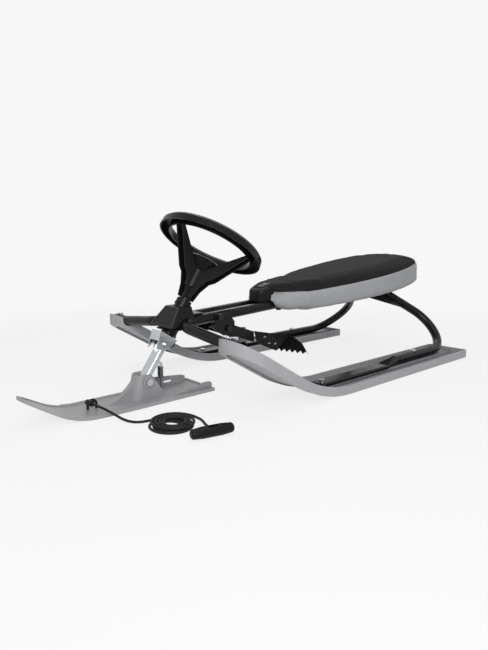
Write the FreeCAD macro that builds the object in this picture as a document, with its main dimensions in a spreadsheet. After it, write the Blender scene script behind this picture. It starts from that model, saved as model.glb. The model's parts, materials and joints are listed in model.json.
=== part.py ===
import FreeCAD, Part
import math
import os
from types import SimpleNamespace

from FreeCAD import Placement, Rotation, Vector

# Steering sled. Millimetres, +X forward, +Y to the driver's left, +Z up.
# The origin lies on the ground, under the middle of the sled.

doc = FreeCAD.newDocument("steering_sled")
sheet = doc.addObject("Spreadsheet::Sheet", "sizes")

SIZES = {
    # general
    "overall_width": 490,
    "fit_gap": 0.3,
    "bore_gap": 0.05,
    "cut_overrun": 30,
    # runners
    "runner_width": 102,
    "runner_back_x": -511,
    "runner_rise_x": -26,
    "runner_rise_radius": 311,
    "runner_rise_angle": 30,
    "runner_tip_x": 267,
    "runner_wall_height": 18,
    "runner_tip_height": 20.5,
    "runner_floor": 7,
    "runner_wall": 4,
    "runner_groove_depth": 4,
    "runner_groove_inset": 14,
    "runner_heel_radius": 10,
    "rail_width": 4,
    "rail_height": 5,
    "rail_offset": 27,
    "rail_end_x": 16,
    "pad_width": 20,
    "pad_height": 4.5,
    "boss_length": 28,
    "boss_width": 44,
    # frame tubes
    "tube_dia": 21.5,
    "tube_wall": 1.5,
    "spine_y": 24,
    "spine_front_z": 146.5,
    "spine_rear_z": 177.5,
    "head_bend_x": 246,
    "head_bend_radius": 46,
    "leg_end_reach": 20,
    "leg_foot_reach": 26,
    "leg_foot_z": 130,
    "leg_foot_radius": 60,
    "rear_bend_x": -409,
    "rear_bend_radius": 70,
    "heel_x": -586,
    "heel_radius": 78,
    "tail_start_x": -256,
    "tail_taper": 45,
    "tail_end_x": 22,
    "tail_width": 32,
    "tail_height": 9,
    "tail_corner": 4,
    "gusset_spine_reach": 120,
    "gusset_leg_reach": 134,
    "gusset_thickness": 3,
    # runner screws
    "screw_dia": 6,
    "screw_head_dia": 13,
    "screw_head_height": 4,
    "screw_bite": 3,
    "rear_screw_x": -338,
    "tail_screw_x": 4,
    # steering head
    "wheel_x": 131,
    "wheel_z": 307.5,
    "steering_lean_angle": 32.8,
    "column_dia": 22,
    "column_wall": 2,
    "column_top": 70,
    "bush_wall": 2,
    "bush_length": 16,
    "bush_flange": 3,
    "bush_flange_dia": 34,
    "head_tube_wall": 2.5,
    "head_top": 154,
    "head_bottom": 218,
    "collar_height": 9,
    "collar_dia": 32,
    "head_plate_thickness": 3,
    "head_plate_half_width": 28,
    "upper_plate_back_x": 182,
    "upper_plate_front_x": 236,
    "lower_plate_back_x": 196,
    "lower_plate_front_x": 259,
    # head cover
    "cover_back_x": 208,
    "cover_top_front_x": 238,
    "cover_bottom_front_x": 269,
    "cover_top_z": 179,
    "cover_bottom_z": 141,
    "cover_top_half_width": 25,
    "cover_bottom_half_width": 41,
    "cover_wall": 2.5,
    "cover_notch_gap": 0.5,
    # steering wheel
    "rim_radius": 114,
    "rim_width": 24,
    "rim_height": 18,
    "rim_wall": 3,
    "rim_round": 5,
    "spoke_width": 22,
    "spoke_wall": 3,
    "spoke_rim_drop": 9,
    "spoke_hub_drop": 66,
    "spoke_bend_radius": 91,
    "spoke_hub_radius": 22,
    "web_knee_radius": 42,
    "web_knee_drop": 84,
    "web_heel_radius": 31,
    "web_heel_drop": 92,
    "web_neck_radius": 20,
    "web_foot_radius": 14,
    "web_foot_drop": 137,
    "bowl_radius": 36,
    "bowl_drop": 50,
    "hub_dia": 35,
    "hub_bottom": 113,
    "wheel_screw_drop": 104,
    "wheel_screw_dia": 5,
    "wheel_screw_head_dia": 9,
    "wheel_screw_head_height": 3,
    # yoke and strut
    "yoke_width": 32,
    "yoke_sheet": 2.5,
    "yoke_drop": 224,
    "yoke_back": 15,
    "yoke_front": 31,
    "yoke_web_drop": 36,
    "yoke_web_foot": 22,
    "yoke_flange_foot": 4,
    "yoke_flange_drop": 25,
    "buffer_drop": 14,
    "strut_bolt_x": 266,
    "strut_bolt_z": 105,
    "ski_pivot_x": 314,
    "ski_pivot_z": 39.5,
    "strut_width": 26,
    "strut_depth": 13,
    "strut_corner": 4,
    "strut_wall": 2,
    "strut_end_reach": 9,
    "pivot_bolt_dia": 8,
    "pivot_head_dia": 14,
    "pivot_head_height": 5,
    "pivot_nut_across": 13,
    "pivot_nut_height": 6,
    "pivot_bush_wall": 1.5,
    "lug_drop": 32,
    "lug_reach": 15,
    "lug_width": 6,
    "lug_height": 5,
    # ski
    "ski_half_width": 49.5,
    "ski_back_x": 170,
    "ski_rise_x": 441,
    "ski_rise_radius": 146,
    "ski_rise_angle": 30.4,
    "ski_tip_x": 567,
    "ski_tip_length": 217,
    "ski_edge": 7,
    "ski_tip_edge": 5,
    "ski_tip_floor": 3,
    "ski_tip_groove_depth": 1,
    "ski_floor": 5,
    "ski_rim": 6,
    "ski_groove_depth": 2,
    "ski_groove_inset": 16,
    "tower_wall": 5,
    "tower_height": 53,
    "tower_back_foot": 42,
    "tower_back_top": 8,
    "tower_front_top": 4,
    "tower_front_foot": 17,
    "rib_thickness": 12,
    "rib_length": 84,
    "boss_dia": 24,
    "boss_height": 3,
    "fin_y": 38,
    "fin_thickness": 4,
    "fin_height": 15,
    "left_fin_length": 117,
    "right_fin_length": 112,
    "fin_slot_length": 22,
    "fin_slot_height": 5,
    "fin_slot_back": 48,
    "deck_hole_dia": 6,
    "deck_hole_back": 47,
    # ski spring
    "spring_x": 272,
    "spring_dia": 12,
    "spring_wire": 1.6,
    "spring_foot": 33,
    "spring_turn_count": 9,
    # brake
    "brake_pivot_x": 121,
    "brake_pivot_z": 124,
    "bracket_bolt_x": 145,
    "bracket_sheet": 2.5,
    "bracket_front": 36,
    "bracket_back": 18,
    "bracket_drop": 14,
    "bracket_rise": 34,
    "brake_bolt_dia": 8,
    "sleeve_dia": 13,
    "arm_thickness": 4,
    "arm_height": 24,
    "arm_reach": 82,
    "arm_drop": 30,
    "arm_y": 29,
    "claw_reach": 147,
    "claw_outer_y": 133,
    "claw_drop": 64,
    "claw_sheet": 3,
    "tooth_depth": 7,
    "tooth_count": 6,
    "tread_hole_dia": 7,
    "brake_spring_dia": 19,
    "brake_spring_wire": 2,
    "brake_spring_turn_count": 4,
    "brake_spring_width": 12,
    "brake_spring_leg": 22,
    # seat
    "seat_front_x": -82,
    "seat_front_z": 143,
    "seat_slope_angle": 6.5,
    "cushion_length": 492,
    "cushion_taper_length": 265,
    "cushion_front_half_width": 82,
    "cushion_rear_half_width": 130,
    "cushion_corner": 28,
    "cushion_thickness": 42,
    "cushion_crown": 19,
    "cushion_draw": 7,
    "cushion_rear_gain": 10,
    "wing_back": 13,
    "wing_length": 88,
    "wing_height": 48,
    "wing_lift": 3,
    "base_lift": 36,
    "base_front_gap": 25,
    "base_half_width": 58,
    "base_length": 455,
    "nose_length": 95,
    "nose_rear_half_width": 56,
    "nose_height": 28,
    "nose_rise": 14,
    "neck_height": 12,
    "neck_half_width": 18,
    "seat_bolt_dia": 6,
    "seat_bolt_head_dia": 12,
    "seat_bolt_head_height": 4,
    "seat_bolt_bite": 5,
    "seat_front_bolt_x": -46,
    "seat_rear_bolt_x": -250,
    # tow rope
    "rope_dia": 5,
    "tow_loop_x": 428,
    "tow_loop_radius": 9,
    "tow_loop_leg": 8,
    "tow_knot_dia": 11,
    "tow_knot_length": 14,
    "coil_x": 360,
    "coil_y": 161,
    "coil_outer_radius": 42,
    "coil_inner_radius": 18,
    "coil_layer_gap": 0.7,
    "coil_turn_count": 7.25,
    "coil_start_angle": 270,
    "floor_gap": 0.5,
    "handle_x": 338,
    "handle_y": 241,
    "handle_turn_angle": 168,
    "handle_length": 78,
    "handle_dia": 20,
    "handle_end_dia": 16,
    "handle_round": 5,
    "handle_recess_length": 18,
    "handle_recess_depth": 6,
}

for row, (name, value) in enumerate(SIZES.items(), start=1):
    sheet.set(f"A{row}", name)
    sheet.set(f"B{row}", str(value))
    sheet.setAlias(f"B{row}", name)
doc.recompute()
s = SimpleNamespace(**{name: float(sheet.get(name)) for name in SIZES})

UP = Vector(0, 0, 1)
LEFT = Vector(0, 1, 0)
FORWARD = Vector(1, 0, 0)

parts = []


def add(label, shape):
    """Give a shape its own document object and keep it as a sub-part."""
    piece = doc.addObject("Part::Feature", label)
    piece.Label = label
    piece.Shape = shape
    parts.append(piece)
    return piece


def keep(piece, label):
    """Keep a finished document object as a sub-part."""
    piece.Label = label
    parts.append(piece)
    return piece


def bind(piece, **expressions):
    """Tie an object's properties to cells of the sheet."""
    for prop, expression in expressions.items():
        piece.setExpression(prop, expression)
    return piece


def rod(start, direction, length, dia):
    """Solid round bar."""
    return Part.makeCylinder(dia / 2, length, start, direction)


def block(low, high):
    """Box between two corners."""
    size = high - low
    return Part.makeBox(size.x, size.y, size.z, low)


def prism(points, direction):
    """Flat polygon pushed along a direction."""
    outline = Part.makePolygon(points + [points[0]])
    return Part.Face(outline).extrude(direction)


def side_prism(points, y_low, y_high):
    """Polygon drawn in the side view, between two planes across the sled."""
    outline = [Vector(x, y_low, z) for x, z in points]
    return prism(outline, LEFT * (y_high - y_low))


def hexagon(seat, direction, across, height, bore):
    """Hexagon nut with a plain bore."""
    corner = across / math.sqrt(3)
    points = [Vector(corner * math.cos(turn), corner * math.sin(turn), 0)
              for turn in (math.radians(60 * count) for count in range(6))]
    nut = prism(points, UP * height)
    nut = nut.cut(rod(Vector(0, 0, 0), UP, height, bore))
    nut.Placement = Placement(seat, Rotation(UP, direction))
    return nut


def screw(seat, direction, length, dia, head_dia, head_height):
    """Round-headed screw: the head's underside lies at the seat."""
    shank = rod(seat, direction, length, dia)
    head = rod(seat, direction * -1, head_height, head_dia)
    return shank.fuse(head).removeSplitter()


def rounded_wire(points, radii):
    """Straight runs joined by tangent arcs, with one radius for each inner point."""
    edges = []
    start = points[0]
    for before, corner, after, radius in zip(points, points[1:], points[2:], radii):
        into = (corner - before).normalize()
        out = (after - corner).normalize()
        turn = into.getAngle(out)
        reach = radius * math.tan(turn / 2)
        first = corner - into * reach
        last = corner + out * reach
        inward = (out - into).normalize()
        middle = corner + inward * (radius / math.cos(turn / 2) - radius)
        edges.append(Part.LineSegment(start, first).toShape())
        edges.append(Part.Arc(first, middle, last).toShape())
        start = last
    edges.append(Part.LineSegment(start, points[-1]).toShape())
    return Part.Wire(edges)


def pipe(wire, dia):
    """Solid tube along a path."""
    first = wire.Edges[0]
    at = first.FirstParameter
    ring = Part.Wire(Part.makeCircle(dia / 2, first.valueAt(at), first.tangentAt(at)))
    return wire.makePipeShell([ring], True, False)


def biarc(start, start_way, end, end_way):
    """Two arcs that leave one point and reach another along the given ways."""
    chord = end - start
    ways = start_way + end_way
    bend = 2 * (1 - start_way.dot(end_way))
    along = chord.dot(ways)
    reach = (math.sqrt(along ** 2 + bend * chord.dot(chord)) - along) / bend
    first_corner = start + start_way * reach
    last_corner = end - end_way * reach
    joint = (first_corner + last_corner) * 0.5
    edges = []
    for a, corner, b in ((start, first_corner, joint), (joint, last_corner, end)):
        weight = (b - a).Length / (2 * reach)
        middle = (a + b + corner * (2 * weight)) * (1 / (2 + 2 * weight))
        edges.append(Part.Arc(a, middle, b).toShape())
    return edges


def winding(place, turns, steps_per_turn):
    """Biarcs through a winding. place(turn) gives the point after that many turns."""
    count = round(turns * steps_per_turn)
    tiny = 1e-4
    stations = [turns * step / count for step in range(count + 1)]
    points = [place(turn) for turn in stations]
    ways = [(place(turn + tiny) - place(turn - tiny)).normalize() for turn in stations]
    edges = []
    for index in range(count):
        edges += biarc(points[index], ways[index], points[index + 1], ways[index + 1])
    return edges, points, ways


def least_gap(place, turns, dia, samples_per_turn=48):
    """Least gap between a winding's turns, measured on points."""
    count = int(turns * samples_per_turn)
    points = [place(turns * step / count) for step in range(count + 1)]
    near = samples_per_turn // 2
    gaps = [(points[i] - points[j]).Length - dia
            for i in range(0, count + 1, 2) for j in range(i + near, count + 1)]
    return min(gaps)


def mirrored(shape):
    """The same shape on the other side of the sled."""
    return shape.mirror(Vector(0, 0, 0), LEFT)


# Runners


def rising_line(keel, lifts):
    """Corners of a line above a keel: start, bend start, bend middle, bend end, tip."""
    flat, bend, tip = lifts
    turn = math.radians(keel.angle)
    centre = Vector(keel.rise_x, 0, keel.radius)

    def on_bend(angle, lift):
        reach = keel.radius - lift
        return centre + Vector(reach * math.sin(angle), 0, -reach * math.cos(angle))

    foot = on_bend(turn, 0)
    slope = Vector(math.cos(turn), 0, math.sin(turn))
    normal = Vector(-math.sin(turn), 0, math.cos(turn))
    climb = (keel.tip_x - foot.x) / math.cos(turn)
    return [Vector(keel.back_x, 0, flat), Vector(keel.rise_x, 0, flat),
            on_bend(turn / 2, (flat + bend) / 2), foot + normal * bend,
            foot + slope * climb + normal * tip]


def band(keel, low, high, width):
    """Solid between two lines above a keel."""
    a = rising_line(keel, low)
    b = rising_line(keel, high)
    edges = [Part.LineSegment(a[0], a[1]), Part.Arc(a[1], a[2], a[3]), Part.LineSegment(a[3], a[4]),
             Part.LineSegment(a[4], b[4]), Part.LineSegment(b[4], b[3]), Part.Arc(b[3], b[2], b[1]),
             Part.LineSegment(b[1], b[0]), Part.LineSegment(b[0], a[0])]
    face = Part.Face(Part.Wire([edge.toShape() for edge in edges]))
    face.translate(LEFT * (-width / 2))
    return face.extrude(LEFT * width)


def even(lift):
    """The same lift all along a keel."""
    return (lift, lift, lift)


runner_keel = SimpleNamespace(
    back_x=s.runner_back_x - s.cut_overrun, rise_x=s.runner_rise_x, radius=s.runner_rise_radius,
    angle=s.runner_rise_angle, tip_x=s.runner_tip_x + s.cut_overrun)
runner_top = s.runner_rise_radius - s.cut_overrun
runner_y = (s.overall_width - s.runner_width) / 2
tube_floor_z = s.runner_floor + s.pad_height
foot_x = s.head_bend_x


def runner_plan(inset):
    """Prism of the runner's outline seen from above, drawn in by an inset."""
    half = s.runner_width / 2 - inset
    back = s.runner_back_x + inset
    shoulder = s.runner_tip_x - inset - half
    edges = [Part.LineSegment(Vector(shoulder, -half, 0), Vector(back, -half, 0)),
             Part.LineSegment(Vector(back, -half, 0), Vector(back, half, 0)),
             Part.LineSegment(Vector(back, half, 0), Vector(shoulder, half, 0)),
             Part.Arc(Vector(shoulder, half, 0), Vector(shoulder + half, 0, 0), Vector(shoulder, -half, 0))]
    face = Part.Face(Part.Wire([edge.toShape() for edge in edges]))
    face.translate(UP * -s.cut_overrun)
    return face.extrude(UP * (s.runner_rise_radius + s.cut_overrun))


def runner_solid():
    """Left runner about its own middle plane: a tray with rails, a boss and a turned-up tip."""
    width = s.runner_width
    middle_height = (s.runner_wall_height + s.runner_tip_height) / 2
    outer_plan = runner_plan(0)
    heel_edges = [edge for edge in outer_plan.Edges
                  if edge.BoundBox.XMax < s.runner_back_x + s.fit_gap and edge.BoundBox.ZLength > s.fit_gap]
    outer_plan = outer_plan.makeFillet(s.runner_heel_radius, heel_edges)
    inner_plan = runner_plan(s.runner_wall)
    above = even(runner_top)
    root = even((s.runner_groove_depth + s.runner_floor) / 2)
    body = band(runner_keel, even(0), (s.runner_wall_height, middle_height, s.runner_tip_height), width)
    body = body.common(outer_plan)
    tray = band(runner_keel, even(s.runner_floor), above, width).common(inner_plan)
    groove = band(runner_keel, even(-s.cut_overrun / 2), even(s.runner_groove_depth), width)
    body = body.cut(tray).cut(groove.common(runner_plan(s.runner_groove_inset)))
    front = s.rail_end_x
    extras = []
    rails = band(runner_keel, root, even(s.runner_floor + s.rail_height), width)
    for side in (-1, 1):
        y = side * s.rail_offset
        strip = block(Vector(s.runner_back_x + s.runner_wall, y - s.rail_width / 2, 0),
                      Vector(front, y + s.rail_width / 2, s.runner_rise_radius))
        extras.append(rails.common(strip))
    pad = block(Vector(s.runner_back_x + s.runner_wall, -s.pad_width / 2, 0),
                Vector(front, s.pad_width / 2, tube_floor_z))
    extras.append(band(runner_keel, root, above, width).common(pad))
    boss_top = s.leg_foot_z - s.tube_dia / 2 - s.fit_gap
    boss = block(Vector(foot_x - s.boss_length / 2, -s.boss_width / 2, 0),
                 Vector(foot_x + s.boss_length / 2, s.boss_width / 2, boss_top))
    extras.append(band(runner_keel, root, above, width).common(boss).common(inner_plan))
    body = body.fuse(extras).removeSplitter()
    notch_dia = s.tube_dia + 2 * s.cover_notch_gap
    notch_start = Vector(foot_x, -s.runner_width / 2 - s.cut_overrun, s.leg_foot_z)
    notch_length = s.runner_width / 2 + s.cut_overrun + s.leg_end_reach + s.fit_gap
    notch = rod(notch_start, LEFT, notch_length, notch_dia)
    gate = block(Vector(foot_x - notch_dia / 2, notch_start.y, s.leg_foot_z),
                 Vector(foot_x + notch_dia / 2, 0, s.runner_rise_radius))
    body = body.cut([notch, gate])
    for x, top in screw_places():
        body = body.cut(rod(Vector(x, 0, top), UP * -1, top, s.screw_dia + 2 * s.bore_gap))
    return body


def screw_places():
    """Where the runner screws stand: the place along the sled and the height of the screw's seat."""
    round_top = tube_floor_z + s.tube_dia
    flat_top = tube_floor_z + s.tail_height
    return [(s.rear_screw_x, round_top), (s.tail_screw_x, flat_top), (foot_x, s.leg_foot_z + s.tube_dia / 2)]


def keel_z(x):
    """Height of the runner's underside: flat, then an arc, then the sloped tip."""
    turn = math.radians(s.runner_rise_angle)
    bend_length = s.runner_rise_radius * math.sin(turn)
    along = max(x - s.runner_rise_x, 0)
    in_bend = min(along, bend_length)
    bend_z = s.runner_rise_radius - math.sqrt(s.runner_rise_radius ** 2 - in_bend ** 2)
    return bend_z + (along - in_bend) * math.tan(turn)


def runner_screws():
    """Three screws that hold the left tube on the runner, about the runner's middle plane."""
    seats = screw_places()
    solids = []
    for x, top in seats:
        length = top - keel_z(x) - s.runner_floor + s.screw_bite
        solids.append(screw(Vector(x, 0, top), UP * -1, length, s.screw_dia, s.screw_head_dia,
                            s.screw_head_height))
    return Part.makeCompound(solids)


# Frame tubes


def tube_points():
    """Corners of the left tube's middle line, from the runner's tip to its tail."""
    tube_axis_z = tube_floor_z + s.tube_dia / 2
    return [Vector(s.head_bend_x, runner_y + s.leg_end_reach, s.leg_foot_z),
            Vector(s.head_bend_x, runner_y - s.leg_foot_reach, s.leg_foot_z),
            Vector(s.head_bend_x, s.spine_y, s.spine_front_z),
            Vector(s.rear_bend_x, s.spine_y, s.spine_rear_z),
            Vector(s.heel_x, runner_y, tube_axis_z),
            Vector(s.tail_start_x, runner_y, tube_axis_z)]


TUBE_RADII = [s.leg_foot_radius, s.head_bend_radius, s.rear_bend_radius, s.heel_radius]
tube_path = rounded_wire(tube_points(), TUBE_RADII)


def spine_z(x):
    """Height of the spine tubes' middle line."""
    share = (s.head_bend_x - x) / (s.head_bend_x - s.rear_bend_x)
    return s.spine_front_z + share * (s.spine_rear_z - s.spine_front_z)


def rounded_rectangle(centre, width, height, corner):
    """Outline across the sled with four lines and four corner arcs."""
    x = centre.x
    half_y = width / 2 - corner
    half_z = height / 2 - corner
    diagonal = corner * math.sqrt(2) / 2
    edges = []
    quarters = [(1, 1), (-1, 1), (-1, -1), (1, -1)]
    corners = []
    for y_way, z_way in quarters:
        mid = Vector(x, centre.y + y_way * (half_y + diagonal), centre.z + z_way * (half_z + diagonal))
        on_side = Vector(x, centre.y + y_way * (half_y + corner), centre.z + z_way * half_z)
        on_end = Vector(x, centre.y + y_way * half_y, centre.z + z_way * (half_z + corner))
        corners.append((on_side, mid, on_end) if y_way * z_way > 0 else (on_end, mid, on_side))
    for index, (start, mid, end) in enumerate(corners):
        following = corners[(index + 1) % len(corners)][0]
        edges.append(Part.Arc(start, mid, end).toShape())
        edges.append(Part.LineSegment(end, following).toShape())
    return Part.Wire(edges)


def split_circle(centre, dia):
    """Circle across the sled, in arcs that answer a rounded rectangle's corners and sides."""
    side_share = 0.1
    top_share = 0.8
    eighth = math.pi / 4
    angles = []
    for quarter in range(0, 8, 4):
        for turn in (side_share, 2 - top_share, 2 + top_share, 4 - side_share):
            angles.append((quarter + turn) * eighth)
    angles.append(angles[0] + 2 * math.pi)

    def at(angle):
        return centre + LEFT * (dia / 2 * math.cos(angle)) + UP * (dia / 2 * math.sin(angle))

    return Part.Wire([Part.Arc(at(a), at((a + b) / 2), at(b)).toShape() for a, b in zip(angles, angles[1:])])


def tube_tail():
    """Flattened end of the left tube, on the runner."""
    flat_x = s.tail_start_x + s.tail_taper
    round_centre = Vector(s.tail_start_x, runner_y, tube_floor_z + s.tube_dia / 2)
    flat_centre = Vector(flat_x, runner_y, tube_floor_z + s.tail_height / 2)
    start = split_circle(round_centre, s.tube_dia)
    flat = rounded_rectangle(flat_centre, s.tail_width, s.tail_height, s.tail_corner)
    taper = Part.makeLoft([start, flat], True, True)
    bar = Part.Face(flat).extrude(FORWARD * (s.tail_end_x - flat_x))
    hollow_corner = s.tail_corner - s.tube_wall
    hollow = rounded_rectangle(flat_centre, s.tail_width - 2 * s.tube_wall, s.tail_height - 2 * s.tube_wall,
                               hollow_corner)
    hollow_length = s.tail_screw_x - s.screw_head_dia - flat_x
    return taper.fuse(bar).cut(Part.Face(hollow).extrude(FORWARD * hollow_length)).removeSplitter()


def frame_tube():
    """Left frame tube: front leg, spine, rear leg and the run on the runner."""
    body = pipe(tube_path, s.tube_dia).cut(pipe(tube_path, s.tube_dia - 2 * s.tube_wall))
    body = body.fuse(tube_tail())
    hole_dia = s.screw_dia + 2 * s.bore_gap
    for x, top in screw_places():
        body = body.cut(rod(Vector(x, runner_y, top + s.cut_overrun), UP * -1, 2 * s.cut_overrun + s.tube_dia,
                            hole_dia))
    for x in (s.seat_front_bolt_x, s.seat_rear_bolt_x):
        body = body.cut(rod(Vector(x, s.spine_y, spine_z(x) - s.tube_dia), UP, 2 * s.tube_dia,
                            s.seat_bolt_dia + 2 * s.bore_gap))
    bolt_y = s.spine_y - s.tube_dia
    body = body.cut(rod(Vector(s.bracket_bolt_x, bolt_y, spine_z(s.bracket_bolt_x)), LEFT, 2 * s.tube_dia,
                        s.brake_bolt_dia + 2 * s.bore_gap))
    return body


def leg_gusset():
    """Left gusset: a plate in the inside of the tube's rear bend."""
    before, corner, after = tube_points()[2:5]
    into = (corner - before).normalize()
    out = (after - corner).normalize()
    turn = into.getAngle(out)
    inward = (out - into).normalize()
    middle = corner + inward * (s.rear_bend_radius / math.cos(turn / 2) - s.rear_bend_radius)
    normal = into.cross(out).normalize()
    points = [corner - into * s.gusset_spine_reach, middle, corner + out * s.gusset_leg_reach]
    lowered = [point - normal * (s.gusset_thickness / 2) for point in points]
    plate = prism(lowered, normal * s.gusset_thickness)
    return plate.cut(pipe(tube_path, s.tube_dia + 2 * s.bore_gap))


# Steering head and everything that turns with the wheel.
# Its own frame: the origin is the wheel's middle, the third axis points up the column.

lean = math.radians(s.steering_lean_angle)
wheel_centre = Vector(s.wheel_x, 0, s.wheel_z)
steering_frame = Placement(wheel_centre, Rotation(LEFT, -s.steering_lean_angle))


def placed(shape):
    """Move a shape from the steering frame to its place."""
    moved = shape.copy()
    moved.Placement = steering_frame.multiply(moved.Placement)
    return moved


def down(drop):
    """Point on the steering axis, below the wheel's top."""
    return Vector(0, 0, -drop)


def to_steering(x, z):
    """Side-view place, measured in the steering frame."""
    return steering_frame.inverse().multVec(Vector(x, 0, z))


def ring(label, outer, inner, height, drop):
    """Round sleeve on the steering axis, made of two cylinders tied to the sheet."""
    skin = bind(doc.addObject("Part::Cylinder", label + "_skin"), Radius=outer, Height=height)
    bore = bind(doc.addObject("Part::Cylinder", label + "_bore"), Radius=inner, Height=height)
    sleeve = doc.addObject("Part::Cut", label)
    sleeve.Base = skin
    sleeve.Tool = bore
    sleeve.Placement = steering_frame.multiply(Placement(down(drop), Rotation()))
    return keep(sleeve, label)


bush_outer_dia = s.column_dia + 2 * s.bore_gap + 2 * s.bush_wall
head_tube_outer_dia = bush_outer_dia + 2 * s.bore_gap + 2 * s.head_tube_wall


def head_bush(drop, flange_above):
    """Plain bush with a flange; drop is the level of the flange's inner face."""
    way = -1 if flange_above else 1
    sleeve = rod(down(drop), UP * way, s.bush_length, bush_outer_dia)
    flange = rod(down(drop), UP * -way, s.bush_flange, s.bush_flange_dia)
    bore = rod(down(drop + s.cut_overrun), UP, 2 * s.cut_overrun, s.column_dia + 2 * s.bore_gap)
    return placed(sleeve.fuse(flange).cut(bore).removeSplitter())


upper_plate_z = spine_z(s.upper_plate_back_x) + s.tube_dia / 2 + s.fit_gap + s.head_plate_thickness


def head_plate(top_z, back, front):
    """Flat plate across the spine tubes, with a hole for the inclined head tube."""
    half = s.head_plate_half_width
    plate = block(Vector(back, -half, top_z - s.head_plate_thickness), Vector(front, half, top_z))
    hole = placed(rod(down(s.head_bottom + s.cut_overrun), UP, s.head_bottom, head_tube_outer_dia
                      + 2 * s.bore_gap))
    flange = placed(rod(down(s.head_bottom), UP * -1, s.head_bottom, s.bush_flange_dia + 2 * s.fit_gap))
    tubes = pipe(tube_path, s.tube_dia + 2 * s.bore_gap)
    return plate.cut([hole, flange, tubes, mirrored(tubes)])


def frustum(inset, bottom_drop):
    """Head cover's outer shape drawn in by a wall."""
    bottom = s.cover_bottom_z - bottom_drop
    top = s.cover_top_z - inset
    slope = (s.cover_bottom_front_x - s.cover_top_front_x) / (s.cover_top_z - s.cover_bottom_z)
    flare = (s.cover_bottom_half_width - s.cover_top_half_width) / (s.cover_top_z - s.cover_bottom_z)

    def outline(z):
        fall = s.cover_top_z - z
        front = s.cover_top_front_x + slope * fall - inset
        half = s.cover_top_half_width + flare * fall - inset
        back = s.cover_back_x + inset
        return Part.makePolygon([Vector(back, -half, z), Vector(front, -half, z), Vector(front, half, z),
                                 Vector(back, half, z), Vector(back, -half, z)])

    return Part.makeLoft([outline(bottom), outline(top)], True, True)


def head_cover():
    """Plastic hood over the steering head, open underneath, with room for the tubes and the column."""
    hood = frustum(0, 0)
    lid_edges = [edge for edge in hood.Edges if edge.BoundBox.ZMin > s.cover_bottom_z + s.cover_wall]
    slant_edges = [edge for edge in hood.Edges if edge.BoundBox.ZLength > s.cover_wall]
    hood = hood.makeFillet(s.cover_wall, lid_edges + slant_edges)
    hood = hood.cut(frustum(s.cover_wall, s.cut_overrun))
    gap = 2 * s.cover_notch_gap
    collar_hole = placed(rod(down(s.head_bottom), UP, s.head_bottom, s.bush_flange_dia + gap))
    tubes = pipe(tube_path, s.tube_dia + gap)
    half = s.head_plate_half_width + s.cover_notch_gap
    slot_top = upper_plate_z + s.cover_notch_gap
    slot = block(Vector(s.cover_back_x - s.cut_overrun, -half, 0),
                 Vector(s.cover_back_x + s.cover_wall, half, slot_top))
    return hood.cut([collar_hole, tubes, mirrored(tubes), slot])


# Steering wheel


def rim():
    """Rim: a channel, open underneath, turned about the column."""
    outer = s.rim_radius
    inner = s.rim_radius - s.rim_width
    lean_in = s.rim_wall / 2

    def section(wall):
        return [Vector(outer - wall, 0, -s.rim_height),
                Vector(outer - lean_in - wall, 0, -s.rim_round - wall),
                Vector(outer - lean_in - s.rim_round, 0, -wall),
                Vector(inner + lean_in + s.rim_round, 0, -wall),
                Vector(inner + lean_in + wall, 0, -s.rim_round - wall),
                Vector(inner + wall, 0, -s.rim_height)]

    def turned(points):
        face = Part.Face(Part.makePolygon(points + [points[0]]))
        return face.revolve(Vector(0, 0, 0), UP, 360)

    return turned(section(0)).cut(turned(section(s.rim_wall)))


SPOKE_TURNS = (0, 120, 240)


def spoke_side(extra):
    """Side outline of a spoke and its web in a half plane through the column, lowered by an extra drop."""
    rim_reach = s.rim_radius - s.rim_width / 2
    top = [(rim_reach, -s.spoke_rim_drop), (s.spoke_bend_radius, -s.spoke_rim_drop),
           (s.spoke_hub_radius, -s.spoke_hub_drop), (0, -s.spoke_hub_drop)]
    top = [(reach, z - extra) for reach, z in top]
    if extra:
        return top + [(0, -s.web_foot_drop - s.cut_overrun), (rim_reach, -s.web_foot_drop - s.cut_overrun)]
    return top + [(0, -s.web_foot_drop), (s.web_foot_radius, -s.web_foot_drop),
                  (s.web_neck_radius, -s.hub_bottom),
                  (s.web_heel_radius, -s.web_heel_drop), (s.web_knee_radius, -s.web_knee_drop),
                  (s.rim_radius - s.rim_width, -s.rim_height)]


def spoke(turn, extra, half):
    """Spoke with its web; an extra drop makes the hollow underneath."""
    body = side_prism(spoke_side(extra), -half, half)
    body.rotate(Vector(0, 0, 0), UP, turn)
    return body


def hub_bowl():
    """Shallow bowl between the spokes, round the hub."""
    wall = s.spoke_wall
    hub = s.hub_dia / 2
    low = s.bowl_drop + s.bowl_radius - hub
    points = [Vector(s.bowl_radius, 0, -s.bowl_drop), Vector(hub, 0, -low), Vector(hub, 0, -low - 2 * wall),
              Vector(s.bowl_radius + wall, 0, -s.bowl_drop - wall)]
    face = Part.Face(Part.makePolygon(points + [points[0]]))
    return face.revolve(Vector(0, 0, 0), UP, 360)


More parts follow.
